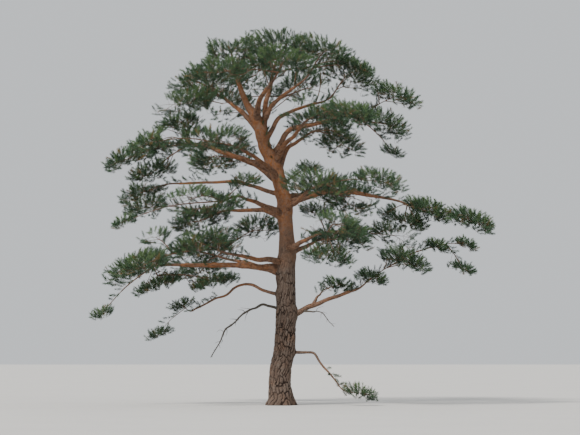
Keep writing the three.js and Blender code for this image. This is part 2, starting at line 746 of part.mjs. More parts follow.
function buildTree() {
  const random = seededRandom(SEED);
  const limbs = [makeTrunk()];
  const masses = [];
  BOUGHS.forEach((row, index) => {
    const pads = makePads(row, index, limbs[0]);
    const baseRadius = BOUGH_RADIUS_PER_METRE * Math.sqrt(foliageArea(pads)) + BOUGH_LEAST_RADIUS;
    const tipRadius = baseRadius * BOUGH_TIP_SHARE;
    const limb = row.tipOf
      ? limbs.find(({ name }) => name === row.tipOf)
      : makeLimb(row, limbs.find(({ name }) => name === row.on), baseRadius, tipRadius, random);
    if (!row.tipOf) {
      limbs.push(limb);
    }
    const direction = limb.curve.getTangentAt(1);
    const tip = limb.curve.getPointAt(1);
    const start = tip.clone().addScaledVector(direction, JOINT_GAP);
    const radius = limb.radiusAt(1, 0) * STEM.radius;
    masses.push({ name: row.name, pads, start, direction, radius });
  });
  for (const row of DEAD_WOOD) {
    const carrier = limbs.find(({ name }) => name === row.on);
    limbs.push(makeLimb(row, carrier, row.radius, row.radius * DEAD_TIP_SHARE, random));
  }
  carveLimbs(limbs);

  addPartingPlanes(masses.flatMap(({ pads }) => pads));
  masses.forEach(growStem);
  const obstacles = [
    ...limbs.map(({ name, solid, swollen }) => ({ owner: `limb ${name}`, solid, swollen })),
    ...masses.map(({ name, stem, swollen }) => ({ owner: name, solid: stem, swollen })),
  ];

  const wood = new THREE.Group();
  for (const { name, solid, curve } of limbs) {
    const dead = name.startsWith('dead');
    const fullName = dead || name === 'trunk' ? name : `bough_${name}`;
    const origin = curve.getPointAt(0);
    wood.add(meshFrom(fullName, solid, origin, dead ? COLOURS.deadWood : COLOURS.bark));
  }
  const foliage = new THREE.Group();
  for (const mass of masses) {
    const solid = growMass(mass, obstacles);
    foliage.add(meshFrom(`foliage_${mass.name}`, solid, mass.start, COLOURS.needles));
  }
  const tree = new THREE.Group();
  tree.add(wood, foliage);
  return tree;
}

const group = buildTree();

export default group;
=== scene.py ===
import math
from dataclasses import dataclass, field
from functools import lru_cache
from typing import NamedTuple

import bpy
import numpy as np
from mathutils import Matrix, Vector


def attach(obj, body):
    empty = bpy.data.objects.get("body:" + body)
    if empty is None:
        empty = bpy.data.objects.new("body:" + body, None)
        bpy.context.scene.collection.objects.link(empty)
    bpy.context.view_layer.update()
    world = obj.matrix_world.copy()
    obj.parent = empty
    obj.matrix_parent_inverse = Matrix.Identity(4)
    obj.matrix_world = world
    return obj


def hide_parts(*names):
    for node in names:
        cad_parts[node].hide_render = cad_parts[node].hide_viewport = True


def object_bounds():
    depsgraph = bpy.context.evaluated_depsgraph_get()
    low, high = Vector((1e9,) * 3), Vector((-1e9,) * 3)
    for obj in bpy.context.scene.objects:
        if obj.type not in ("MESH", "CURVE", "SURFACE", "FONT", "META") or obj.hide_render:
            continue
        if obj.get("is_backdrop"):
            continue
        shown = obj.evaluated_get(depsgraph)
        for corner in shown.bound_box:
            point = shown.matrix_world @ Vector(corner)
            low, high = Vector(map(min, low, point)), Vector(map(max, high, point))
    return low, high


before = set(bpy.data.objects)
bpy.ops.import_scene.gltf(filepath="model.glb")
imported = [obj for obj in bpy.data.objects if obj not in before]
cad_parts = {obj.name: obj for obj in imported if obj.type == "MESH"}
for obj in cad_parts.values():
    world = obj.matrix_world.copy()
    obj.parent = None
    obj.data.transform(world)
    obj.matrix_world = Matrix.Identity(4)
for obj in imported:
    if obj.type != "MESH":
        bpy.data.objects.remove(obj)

# The looks of an old, open-grown pine: plated bark on the trunk, orange bark on the boughs,
# and flat pads of twigs and needles held out in layers.
# Metres. +X is to the right, +Y goes away from the viewer, +Z is up, and the origin is at the
# middle of the flat cut under the trunk.

CAD_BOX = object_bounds()

bl_info = {
    "name": "Open-Grown Pine",
    "version": (1, 0, 0),
    "blender": (4, 5, 0),
    "location": "3D Viewport > Sidebar > Pine",
    "description": "Grows bark, twigs and needles round the limbs of a pine",
    "category": "Object",
}

SEED = 4423
UP = np.array([0.0, 0.0, 1.0])
RIGHT = np.array([1.0, 0.0, 0.0])
GOLDEN_ANGLE = math.pi * (3 - math.sqrt(5))
TURN = 2 * math.pi

# The trunk's middle line and thickness at each height: (height, right, away, diameter).
TRUNK_LINE = [
    (0.0, 0.0, 0.0, 0.8),
    (0.17, 0.0, 0.0, 0.69),
    (0.5, -0.028, 0.01, 0.59),
    (1.0, 0.005, 0.025, 0.56),
    (1.5, 0.105, 0.04, 0.55),
    (2.45, 0.147, 0.03, 0.53),
    (3.4, 0.15, 0.06, 0.48),
    (4.4, 0.156, 0.095, 0.4),
    (5.34, 0.09, 0.09, 0.34),
    (6.11, -0.057, 0.05, 0.31),
    (6.89, -0.425, 0.01, 0.27),
    (7.5, -0.58, -0.03, 0.225),
    (8.09, -0.93, -0.16, 0.16),
    (8.65, -1.15, -0.35, 0.105),
]
FLARE_HEIGHT = 0.42
FLARE_LOBES = 5
FLARE_DEPTH = 0.16
FLARE_TURN = 0.6
TRUNK_RIDGES = 3
TRUNK_RIDGE_DEPTH = 0.035
TRUNK_TWIST_HEIGHT = 0.7

# A bough's thickness follows from the foliage that it carries.
BOUGH_LEAST_RADIUS = 0.014
BOUGH_RADIUS_PER_METRE = 0.056
BOUGH_TIP_SHARE = 0.46
BOUGH_TAPER = 0.8
BOUGH_CROOK = 0.035
BOUGH_ARCH = (-0.6, 1.4)
COLLAR_SWELL = 0.3
COLLAR_START = 0.15
COLLAR_LENGTH = 0.16
DEAD_TIP_SHARE = 0.3

# The half widths of a pad of foliage: to the right, away and up.
PAD_REACH = {
    "broad": (1.25, 1.2, 0.62),
    "full": (1.08, 1.08, 0.52),
    "flat": (1.02, 1.02, 0.39),
    "small": (0.82, 0.86, 0.4),
    "thin": (0.85, 0.8, 0.25),
    "tuft": (0.58, 0.54, 0.29),
    "clump": (0.48, 0.44, 0.23),
    "knot": (0.43, 0.41, 0.21),
}

# Pads hang down outwards, more so the further they are from the trunk, in degrees.
DROOP_LEAST = 5
DROOP_PER_METRE = 4.5
DROOP_MOST = 20

# Foliage of one bough keeps this far from its neighbours' foliage.
NEIGHBOUR_GAP = 0.015

# The woody stem of a mass, and the limbs of it to its further pads.
STEM_RADIUS_SHARE = 0.92
STEM_TAPER = 0.72
STEM_BEND_AT = 0.35
STEM_REACH_ON = 0.35
SIDE_LEAVES_AT = 0.5
SIDE_NEXT_LEAVES_AT = 0.6
SIDE_ARCH_AT = 0.55
SIDE_ARCH_RISE = 0.06
SIDE_RADIUS_SHARE = 0.5
SIDE_TAPER = 0.3

# Every bough by its level in the crown: the height up the trunk where it leaves (or "on"
# another bough, the share of the way along that), the points that it passes, its tip, and the
# pads on its stem. "tip_of" marks the foliage at the trunk's own tip.
BOUGHS = {
    "crown": [
        {"name": "crown_left", "tip_of": "trunk",
         "pads": [("broad", -1.3, -0.56, 9.32)]},
        {"name": "crown_middle", "at": 7.1,
         "through": [(-0.42, 0.11, 8.0)], "tip": (-0.23, 0.26, 8.82),
         "pads": [("broad", 0.02, 0.56, 9.55), ("full", -0.7, 2.05, 9.06)]},
        {"name": "crown_right", "at": 7.38,
         "through": [(-0.25, -0.12, 8.0)], "tip": (0.36, -0.38, 8.45),
         "pads": [("full", 1.1, -0.64, 9.32), ("tuft", 2.05, -0.62, 8.95)]},
        {"name": "crown_right_shoulder", "at": 7.0,
         "through": [(0.0, 0.13, 7.7)], "tip": (0.94, 0.52, 8.12),
         "pads": [("full", 1.8, 0.8, 8.92)]},
        {"name": "crown_left_shoulder", "at": 7.25,
         "through": [(-1.08, 0.16, 7.9)], "tip": (-1.4, 0.42, 8.15),
         "pads": [("full", -2.08, 0.76, 8.65), ("full", -2.38, -0.9, 7.96)]},
        {"name": "crown_front", "at": 7.6,
         "through": [(-0.56, -0.68, 8.08)], "tip": (-0.33, -1.23, 8.35),
         "pads": [("full", 0.06, -2.2, 8.88), ("full", -1.58, -2.25, 8.62)]},
        {"name": "crown_back", "at": 6.78,
         "through": [(-0.42, 0.9, 7.65)], "tip": (-0.3, 1.7, 8.08),
         "pads": [("full", 0.62, 2.55, 8.72), ("full", -1.62, 2.55, 8.32)]},
    ],
    "upper": [
        {"name": "right_upper", "at": 6.56,
         "through": [(0.25, 0.06, 7.35)], "tip": (1.32, 0.16, 7.62),
         "pads": [("full", 2.58, 0.24, 7.56), ("small", 3.06, -0.45, 8.2),
                  ("knot", 3.0, 0.52, 6.82)]},
        {"name": "right_upper_front", "at": 6.36,
         "through": [(0.15, -0.52, 6.95)], "tip": (0.5, -1.05, 7.28),
         "pads": [("full", 0.98, -1.85, 7.56), ("small", 1.75, -3.32, 7.45)]},
        {"name": "right_upper_back", "at": 6.16,
         "through": [(0.2, 0.62, 6.85)], "tip": (0.6, 1.25, 7.24),
         "pads": [("full", 1.1, 2.05, 7.56), ("small", 1.7, 3.4, 7.25)]},
        {"name": "left_upper", "at": 6.25,
         "through": [(-1.15, 0.06, 6.6)], "tip": (-1.75, 0.2, 6.83),
         "pads": [("full", -2.78, 0.38, 7.02), ("small", -4.05, -0.18, 6.56),
                  ("small", -3.5, 0.8, 6.24), ("thin", -2.68, 0.62, 7.64)]},
        {"name": "left_upper_front", "at": 6.0,
         "through": [(-0.5, -0.6, 6.45)], "tip": (-0.95, -1.08, 6.68),
         "pads": [("full", -1.65, -1.75, 6.85), ("small", -3.25, -2.5, 6.8)]},
        {"name": "left_upper_back", "at": 5.82,
         "through": [(-0.48, 0.7, 6.3)], "tip": (-0.95, 1.38, 6.6),
         "pads": [("full", -1.65, 2.2, 6.82), ("small", -1.9, 3.42, 6.78)]},
        {"name": "right_small", "at": 5.9,
         "tip": (0.42, -0.12, 6.15),
         "pads": [("knot", 0.78, -0.2, 6.33)]},
    ],
    "middle": [
        {"name": "left_middle", "at": 5.6,
         "through": [(-1.0, 0.26, 5.96)], "tip": (-2.75, 0.62, 5.95),
         "pads": [("small", -3.68, 0.82, 5.74)]},
        {"name": "left_middle_front", "at": 5.05,
         "through": [(-0.56, -0.62, 5.33)], "tip": (-0.9, -1.05, 5.42),
         "pads": [("flat", -1.85, -1.75, 5.15), ("knot", -4.1, -1.5, 4.8),
                  ("small", -2.3, -3.32, 5.26), ("tuft", -0.9, -1.5, 5.85)]},
        {"name": "left_middle_back", "at": 4.9,
         "through": [(-0.6, 0.85, 5.25)], "tip": (-1.3, 1.6, 5.28),
         "pads": [("flat", -2.25, 2.3, 5.04), ("small", -3.75, 2.45, 5.42)]},
        {"name": "right_middle_front", "at": 5.15,
         "through": [(0.45, -0.52, 5.4)], "tip": (0.62, -1.08, 5.54),
         "pads": [("full", 0.95, -2.05, 5.7), ("small", 2.52, -2.9, 5.76)]},
        {"name": "right_middle", "at": 5.3,
         "through": [(1.3, 0.16, 5.7)], "tip": (2.6, 0.16, 5.56),
         "pads": [("small", 3.9, 0.06, 5.18), ("small", 5.08, 0.0, 4.9),
                  ("small", 3.35, 0.7, 4.98)]},
        {"name": "right_middle_back", "at": 5.42,
         "through": [(0.5, 0.5, 5.65)], "tip": (0.92, 1.05, 5.72),
         "pads": [("full", 1.75, 1.9, 5.7), ("small", 1.9, 3.38, 5.56)]},
        {"name": "right_lower_front", "at": 4.1,
         "through": [(0.4, -0.42, 4.22)], "tip": (0.76, -0.9, 4.4),
         "pads": [("flat", 1.5, -1.65, 4.56), ("small", 1.45, -3.28, 4.6),
                  ("small", 1.25, -1.15, 3.9)]},
        {"name": "right_lower_back", "at": 3.9,
         "through": [(0.45, 0.55, 4.15)], "tip": (0.86, 1.25, 4.37),
         "pads": [("flat", 1.6, 2.1, 4.52), ("small", 3.05, 2.35, 4.64),
                  ("tuft", 0.95, 1.3, 5.26)]},
    ],
    "low": [
        {"name": "right_low", "at": 2.33,
         "through": [(1.15, -0.06, 2.76)], "tip": (1.85, -0.2, 3.02),
         "pads": [("tuft", 2.42, -0.42, 3.38), ("small", 3.25, -0.56, 3.83),
                  ("clump", 4.16, -0.4, 4.22), ("knot", 4.94, -0.2, 4.29),
                  ("clump", 4.82, -0.42, 3.64)]},
        {"name": "right_low_spur", "on": "right_low", "at": 0.42,
         "through": [(0.98, 0.16, 2.9)], "tip": (1.08, 0.28, 2.99),
         "pads": [("tuft", 1.54, 0.42, 3.2)]},
        {"name": "left_low", "at": 3.58,
         "through": [(-0.7, -0.06, 3.69), (-1.6, -0.14, 3.72)], "tip": (-2.65, -0.24, 3.72),
         "pads": [("full", -3.76, -0.32, 3.64), ("knot", -4.72, -0.42, 2.45),
                  ("thin", -3.25, 0.48, 3.25), ("thin", -1.78, 0.3, 3.3)]},
        {"name": "left_low_front", "at": 3.78,
         "through": [(-0.6, -0.64, 3.86)], "tip": (-1.08, -1.12, 3.94),
         "pads": [("full", -1.98, -1.9, 4.2), ("small", -3.45, -2.5, 3.66),
                  ("tuft", -3.25, -1.5, 4.4)]},
        {"name": "left_low_back", "at": 3.35,
         "through": [(-0.56, 0.72, 3.68)], "tip": (-1.15, 1.38, 3.88),
         "pads": [("full", -2.12, 2.1, 4.15), ("small", -2.25, 3.42, 3.7),
                  ("small", -0.64, 1.6, 4.8)]},
        {"name": "left_bottom", "at": 2.9,
         "through": [(-0.98, 0.33, 3.24), (-1.9, 0.62, 2.76)], "tip": (-2.33, 0.76, 2.56),
         "pads": [("knot", -2.68, 0.86, 2.7), ("clump", -3.3, 1.0, 1.92)]},
        {"name": "right_bottom", "at": 1.4,
         "through": [(0.86, -0.12, 1.38), (1.25, -0.22, 0.9)], "tip": (1.53, -0.28, 0.56),
         "pads": [("tuft", 2.1, -0.36, 0.33)]},
    ],
}

# Dead limbs with no foliage, given as the boughs are, with their radius where they start.
DEAD_LIMBS = [
    {"name": "dead_left_hook", "at": 2.5, "radius": 0.042,
     "through": [(-0.49, -0.16, 2.67), (-0.98, -0.24, 2.43), (-1.46, -0.28, 1.99)],
     "tip": (-1.85, -0.3, 1.27)},
    {"name": "dead_right_spur", "on": "right_low", "at": 0.24, "radius": 0.022,
     "through": [(1.05, -0.33, 2.48)], "tip": (1.42, -0.48, 2.08)},
]

# A piece of needles stays under this many triangles.
MOST_TRIANGLES = 190_000

# The eye that looks at the tree, and the point that it looks at.
EYE_DISTANCE = 62.0
EYE_HEIGHT = 1.5
AIM = (0.25, 0.0, 5.0)


# Sizes and colours that a user would change.

def length_property(name, description, default):
    return bpy.props.FloatProperty(
        name=name, description=description, default=default, min=0.0, unit="LENGTH",
    )


def count_property(name, description, default):
    return bpy.props.IntProperty(name=name, description=description, default=default, min=1)


def colour_property(name, description, default):
    return bpy.props.FloatVectorProperty(
        name=name, description=description, default=default, min=0.0, max=1.0, size=3,
        subtype="COLOR",
    )


class PineBarkSettings(bpy.types.PropertyGroup):
    sides: count_property("Trunk sides", "Points of the mesh round the trunk", 144)
    ring_spacing: length_property("Ring spacing", "Height between the trunk's rings", 0.0155)
    plates_around: count_property("Plates around", "Bark plates round the trunk", 22)
    plate_height: length_property("Plate height", "Height of one bark plate", 0.27)
    furrow_depth: length_property("Furrow depth", "Depth between the plates at the foot", 0.026)
    flake_depth: length_property("Flake depth", "Relief of the thin bark high up", 0.006)
    change_from: length_property("Orange from", "Height where the bark turns orange", 3.0)
    change_to: length_property("Orange above", "Height above which it is all orange", 5.8)
    plate_colour: colour_property("Plates", "Old bark low on the trunk", (0.100, 0.063, 0.045))
    pale_colour: colour_property("Weathered", "Weathered faces of plates", (0.190, 0.152, 0.126))
    furrow_colour: colour_property("Furrows", "Deep furrows of bark", (0.022, 0.013, 0.009))
    orange_colour: colour_property("Orange bark", "Thin bark high up", (0.31, 0.125, 0.048))
    twig_colour: colour_property("Twigs", "Bark of twigs and shoots", (0.125, 0.082, 0.05))
    dead_colour: colour_property("Dead wood", "Bare weathered wood", (0.118, 0.104, 0.088))


class PineFoliageSettings(bpy.types.PropertyGroup):
    shoots: count_property("Shoots", "Shoots for each square metre of a pad's half widths", 226)
    shoot_length: length_property("Shoot length", "Length of a shoot with needles", 0.2)
    pairs: count_property("Needle pairs", "Pairs of needles on each shoot", 36)
    needle_length: length_property("Needle length", "Length of a needle", 0.081)
    needle_width: length_property("Needle width", "Width of a needle at its foot", 0.0062)
    # Shaded needles: the mature green darkened, as painted shade inside and below a pad.
    painted_shade_colour: colour_property("Shaded needles", "Needles inside a pad", (0.023, 0.049, 0.027))
    mature_colour: colour_property("Mature needles", "Most needles", (0.047, 0.093, 0.045))
    # Fresh needles: a lighter green for needles on top, painted light and partly fresh growth.
    fresh_and_lit_colour: colour_property("Fresh needles", "Needles on top", (0.088, 0.148, 0.056))
    old_colour: colour_property("Old needles", "Needles about to fall", (0.16, 0.115, 0.045))


class PineStageSettings(bpy.types.PropertyGroup):
    distance: length_property("Distance", "From the camera to the tree", EYE_DISTANCE)
    eye_height: length_property("Eye height", "Height of the camera", EYE_HEIGHT)
    frame_height: length_property("Frame height", "Height seen at the tree", 11.6)
    floor_colour: colour_property("Floor", "Plain pale floor", (0.62, 0.61, 0.59))
    sky_colour: colour_property("Surroundings", "Pale light all round", (0.80, 0.83, 0.86))


# Random numbers and smooth lines, as the solids were made with them.

# The largest whole number of 32 bits: the random numbers wrap round past it.
WORD = 0xFFFFFFFF
# A direction that rises more than this has its cross axes found from another helper.
STEEP = 0.97
# The points along a limb among which a height is looked for.
HEIGHT_STEPS = 401
# No direction is shorter than this before it is made one long.
LEAST_LENGTH = 1e-12


def seeded_random(seed):
    """A maker of the same run of random numbers that bends the solid limbs. The numbers in it
    are those of the common generator mulberry32."""
    state = seed & WORD

    def draw():
        nonlocal state
        state = (state + 0x6D2B79F5) & WORD
        bits = ((state ^ (state >> 15)) * (1 | state)) & WORD
        bits ^= (bits + (bits ^ (bits >> 7)) * (61 | bits)) & WORD
        return (bits ^ (bits >> 14)) / 2**32

    return draw


def between(random, low, high):
    return low + (high - low) * random()


def lerp(low, high, share):
    return low + (high - low) * share


def ease(share):
    """A share from 0 to 1 that starts and ends slowly."""
    return share * share * (3 - 2 * share)


def smoothstep(low, high, value):
    return ease(np.clip((value - low) / (high - low), 0.0, 1.0))


def unit(vectors):
    length = np.linalg.norm(vectors, axis=-1, keepdims=True)
    return vectors / np.maximum(length, LEAST_LENGTH)


def square_to(directions, axes):
    """The directions, each turned square to its axis."""
    return unit(directions - axes * np.sum(directions * axes, axis=1)[:, None])


class Line:
    """A smooth line through points (a centripetal Catmull-Rom curve, as in the part's source),
    read by the share of its length."""

    # Its length is measured over so many steps, and its direction over this share each way.
    DIVISIONS = 200
    NEAR = 1e-3

    def __init__(self, points):
        points = np.asarray(points, float)
        before = 2 * points[0] - points[1]
        after = 2 * points[-1] - points[-2]
        self.points = np.vstack([before, points, after])
        self.spans = len(points) - 1
        self.steps = np.linspace(0, 1, self.DIVISIONS + 1)
        places = self.place(self.steps)
        lengths = np.linalg.norm(np.diff(places, axis=0), axis=1)
        self.travelled = np.concatenate([[0.0], np.cumsum(lengths)])
        self.length = self.travelled[-1]

    def place(self, steps):
        """The points at these shares of the way, with each span of the line counted alike."""
        steps = np.clip(np.atleast_1d(np.asarray(steps, float)), 0, 1) * self.spans
        span = np.minimum(steps.astype(int), self.spans - 1)
        x = (steps - span)[:, None]
        a, b, c, d = (self.points[span + i] for i in range(4))
        ab, bc, cd = (
            np.sqrt(np.linalg.norm(end - start, axis=1, keepdims=True))
            for start, end in ((a, b), (b, c), (c, d)))
        leave = ((b - a) / ab - (c - a) / (ab + bc) + (c - b) / bc) * bc
        arrive = ((c - b) / bc - (d - b) / (bc + cd) + (d - c) / cd) * bc
        return b + leave * x + (3 * (c - b) - 2 * leave - arrive) * x**2 \
            + (2 * (b - c) + leave + arrive) * x**3

    def at(self, shares):
        """The points at these shares of the line's length."""
        shares = np.asarray(shares, float)
        steps = np.interp(np.ravel(shares) * self.length, self.travelled, self.steps)
        places = self.place(steps)
        return places[0] if shares.ndim == 0 else places

    def direction(self, share):
        """The way that the line runs at a share of its length."""
        low, high = max(0.0, share - self.NEAR), min(1.0, share + self.NEAR)
        return unit(self.at(high) - self.at(low))


def cross_axes(direction):
    """Two directions square to one, the first level where it can be."""
    helper = RIGHT if abs(direction[2]) > STEEP else UP
    side = unit(np.cross(direction, helper))
    return side, unit(np.cross(side, direction))


# The limbs: one line and one taper each, the same as the solids'.

@dataclass
class Limb:
    name: str
    line: Line
    radius_at: object


def trunk_radius(heights):
    levels = [row[0] for row in TRUNK_LINE]
    diameters = [row[3] for row in TRUNK_LINE]
    return np.interp(heights, levels, diameters) / 2


def make_trunk():
    line = Line([(right, away, height) for height, right, away, _ in TRUNK_LINE])
    return Limb("trunk", line, lambda shares: trunk_radius(line.at(shares)[..., 2]))


def point_on(limb, at):
    """A point of a limb's middle line: the trunk's by height, a bough's by share."""
    if limb.name != "trunk":
        return limb.line.at(at)
    points = limb.line.at(np.linspace(0, 1, HEIGHT_STEPS))
    above = np.nonzero(points[:, 2] >= at)[0]
    return points[above[0]] if len(above) else points[-1]


def make_limb(row, carrier, base_radius, tip_radius, random):
    """A limb that leaves its carrier in a collar and is a little crooked between its points."""
    points = [point_on(carrier, row["at"])]
    points += [np.array(point) for point in (*row.get("through", []), row["tip"])]
    crooked = [points[0]]
    for last, point in zip(points, points[1:]):
        span = np.linalg.norm(point - last)
        middle = (point + last) / 2
        middle[0] += BOUGH_CROOK * span * between(random, -1, 1)
        middle[1] += BOUGH_CROOK * span * between(random, -1, 1)
        middle[2] += BOUGH_CROOK * span * between(random, *BOUGH_ARCH)
        crooked += [middle, point]
    line = Line(crooked)

    def radius_at(shares):
        past = np.maximum(0, np.asarray(shares) * line.length - COLLAR_START)
        collar = 1 + COLLAR_SWELL * np.exp(-past / COLLAR_LENGTH)
        return lerp(base_radius, tip_radius, np.asarray(shares) ** BOUGH_TAPER) * collar

    return Limb(row["name"], line, radius_at)


# The pads: flat, drooping spaces that foliage fills, parted from those of other boughs.

@dataclass
class Pad:
    """A flat space that droops outwards, cut off by planes towards its neighbours."""
    owner: str
    heart: np.ndarray
    reach: np.ndarray
    droop: np.ndarray
    planes: list = field(default_factory=list)
    axis: Line = None

    def extent(self, direction):
        return np.linalg.norm(self.reach * (direction @ self.droop))

    def box(self):
        half = np.array([self.extent(axis) for axis in np.eye(3)])
        return self.heart - half, self.heart + half

    def to_world(self, local):
        return local @ self.droop.T + self.heart

    def to_local(self, points):
        return (points - self.heart) @ self.droop

    def holds(self, points, share=1.0):
        """Which points lie in the pad's space."""
        inside = np.sum((self.to_local(points) / self.reach) ** 2, axis=-1) <= share**2
        for normal, offset in self.planes:
            inside &= points @ normal <= offset
        return inside


def make_pads(row, trunk):
    pads = []
    for kind, *place in row["pads"]:
        heart = np.array(place)
        outward = heart - point_on(trunk, heart[2])
        outward[2] = 0
        angle = min(DROOP_MOST, DROOP_LEAST + DROOP_PER_METRE * np.linalg.norm(outward))
        hinge = Vector(np.cross(UP, outward)).normalized()
        droop = np.array(Matrix.Rotation(math.radians(angle), 3, hinge))
        pads.append(Pad(row["name"], heart, np.array(PAD_REACH[kind]), droop))
    return pads


def parting_plane(pad, other):
    """The plane that bounds a pad towards another: its normal and its offset."""
    apart = other.heart - pad.heart
    normal = unit(apart / (pad.reach + other.reach) ** 2)
    share = pad.extent(normal) / (pad.extent(normal) + other.extent(normal))
    return normal, normal @ pad.heart + share * (normal @ apart) - NEIGHBOUR_GAP / 2


def part_neighbours(pads):
    """Bounds each pad towards the pads of other boughs that it would reach into."""
    boxes = [pad.box() for pad in pads]
    for pad, (low, high) in zip(pads, boxes):
        for other, (other_low, other_high) in zip(pads, boxes):
            meet = np.all(low < other_high) and np.all(other_low < high)
            if other.owner != pad.owner and meet:
                pad.planes.append(parting_plane(pad, other))


@dataclass
class Mass:
    """The foliage of one limb: its pads and the woody stems through them."""
    name: str
    level: str
    limb: Limb
    pads: list
    stems: list


def grow_stems(start, direction, radius, pads):
    """One stem from the bough's tip to the first pad, and a limb of it to each other pad."""
    first = pads[0]
    reach_on = unit(first.heart - start) * first.reach * STEM_REACH_ON
    bend = start + direction * np.linalg.norm(first.heart - start) * STEM_BEND_AT
    first.axis = Line([start, bend, first.heart, first.heart + reach_on])
    stems = [(first.axis, radius, radius * (1 - STEM_TAPER))]
    for number, pad in enumerate(pads[1:], start=1):
        carrier = min(pads[:number], key=lambda other: np.linalg.norm(other.heart - pad.heart))
        leave = carrier.axis.at(SIDE_LEAVES_AT if carrier is first else SIDE_NEXT_LEAVES_AT)
        arch = lerp(leave, pad.heart, SIDE_ARCH_AT)
        arch[2] += SIDE_ARCH_RISE * np.linalg.norm(pad.heart - leave)
        pad.axis = Line([leave, arch, pad.heart])
        side_radius = radius * SIDE_RADIUS_SHARE
        stems.append((pad.axis, side_radius, side_radius - radius * SIDE_TAPER))
    return stems


@lru_cache(maxsize=1)
def grow_limbs():
    """The trunk, boughs and dead limbs by name, and the masses of foliage."""
    random = seeded_random(SEED)
    trunk = make_trunk()
    limbs = {"trunk": trunk}
    masses = []
    for level, rows in BOUGHS.items():
        for row in rows:
            pads = make_pads(row, trunk)
            area = sum(pad.reach[0] * pad.reach[1] for pad in pads)
            radius = BOUGH_RADIUS_PER_METRE * math.sqrt(area) + BOUGH_LEAST_RADIUS
            if "tip_of" in row:
                limb = trunk
            else:
                carrier = limbs[row.get("on", "trunk")]
                limb = make_limb(row, carrier, radius, radius * BOUGH_TIP_SHARE, random)
                limbs[row["name"]] = limb
            stem_radius = float(limb.radius_at(1.0)) * STEM_RADIUS_SHARE
            stems = grow_stems(limb.line.at(1.0), limb.line.direction(1.0), stem_radius, pads)
            masses.append(Mass(row["name"], level, limb, pads, stems))
    for row in DEAD_LIMBS:
        radius, carrier = row["radius"], limbs[row.get("on", "trunk")]
        limbs[row["name"]] = make_limb(row, carrier, radius, radius * DEAD_TIP_SHARE, random)
    part_neighbours([pad for mass in masses for pad in mass.pads])
    return limbs, masses


# Twigs and shoots: they grow on from the stems by the rule of the solids, the golden angle
# round each pad and one growth joined to the nearest, carried to finer twigs.

# Ribs are a pad's main twigs: their number, reach, rise, and how far forward they leave.
RIBS_LEAST = 4
RIBS_PER_METRE = 5
RIB_REACH = 0.74
RIB_RISE = (-0.25, 0.2)
RIB_FORWARD = 0.55
RIB_ARCH = 0.07
RIB_SWAY = 0.06

# Shoots lie in the outer shell of a pad, in a band of heights with more of them on top. They
# reach furthest beside a rib, so that a pad parts into fingers.
SHOOT_BAND = (-0.45, 0.96)
SHOOT_TOP_BIAS = 0.82
SHOOT_TURN = 0.2
SHOOT_OUTER = 0.97
SHOOT_SHELL = 0.42
SHELL_POWER = 1.7
FINGER_DEPTH = 0.24
SHOOT_LENGTHS = (0.75, 1.2)
# A shoot heads outwards, more so at the rim, and up, more so on top, and a little aside.
OUTWARD_LEAST = 0.25
LIFT_LEAST = 0.22
LIFT_BY_HEIGHT = 0.75
LIFT_BY_CHANCE = 0.2
SHOOT_ASIDE = 0.5
SHOOT_UNEVEN = 0.22
# These boughs carry closer shoots than the rest.
CLOSER = {"right_middle": 1.4, "right_low": 1.25, "left_upper": 1.1}
# Shoots keep clear of the wood and the ground, and stop this far past the solids' own box.
WOOD_CLEARANCE = 0.03
GROUND_CLEARANCE = 0.075
PAST_BOX = 0.16
# The wood that they keep clear of, as points: where they start, their spacing and least
# number on a limb, and how far round a pad they count.
WOOD_FROM = 0.05
WOOD_SPACING = 0.06
WOOD_LEAST = 8
WOOD_NEAR = 0.2

# Needles are darkest inside and below a pad, which is painted shade, and a few are old.
# Needles on top and outside are lightest: painted light, partly also fresh growth.
SHADES = ("painted_shade", "mature", "fresh_and_lit", "old")
PAINTED_SHADE, MATURE, FRESH_AND_LIT, OLD = range(len(SHADES))
LIGHT_BY_HEIGHT = 0.55
LIGHT_BY_DEPTH = 1.1
LIT_DEPTH = 0.75
LIGHT_UNEVEN = 0.22
MATURE_FROM = -0.12
FRESH_AND_LIT_FROM = 0.5
OLD_SHARE = 0.035

# Sprigs are shoots along bare stems, and along the end of the limb before them. They stand
# out from the wood, lean along it and rise.
SPRIG_SPACING = 0.085
SPRIG_FROM = 0.72
SPRIG_REACH = (0.012, 0.05)
SPRIG_SLIDE = 0.04
SPRIG_FORWARD = 0.5
SPRIG_LEAN = 0.4
SPRIG_RISE = 0.25
SPRIG_UNEVEN = 0.3
SPRIG_LENGTH = 0.9
# A stem is bare outside this share of its pad, and takes sprigs at more than so many places.
BARE_BEYOND = 0.95
BARE_PLACES = 3

# Twigs grow in steps, bend before a shoot, and thicken with the shoots that they carry.
AXIS_PLACES = 6
AXIS_RADIUS = 0.01
TWIG_STEP = 0.115
TWIG_FORWARD = 0.3
TWIG_BEND = 0.5
TWIG_LEAST_RADIUS = 0.0026
TWIG_SWELL = 0.43
TWIG_FOOT_SWELL = 1.12
THICK_TWIG = 0.0065
THICK_SIDES = 5
THIN_SIDES = 3
# A direction along which no twig grows, to measure the turn of their sides from, and a nudge
# for points that have no direction.
ASKEW = (0.31, 0.17, 0.93)
NUDGE = 1e-6
# Room for a pad's points: at least so many, and so many for each shoot and each rib.
ROOM_LEAST = 400
ROOM_FOR_SHOOT = 12
ROOM_FOR_RIB = 40

# Needles stand in pairs from near a shoot's foot to its tip. They open wide at the foot and
# less at the tip (angles in radians), and the two of a pair part by a share of their length.
NEEDLES_FROM = 0.06
NEEDLE_TURN = 0.3
NEEDLE_OPENING = (1.15, 0.42)
NEEDLE_OPENING_UNEVEN = 0.12
NEEDLE_LENGTHS = (0.82, 1.12)
PAIR_SPREAD = 0.13
NEEDLE_LOWEST = 0.004
NEEDLE_DRAW = 99
STEEP_SHOOT = 0.9

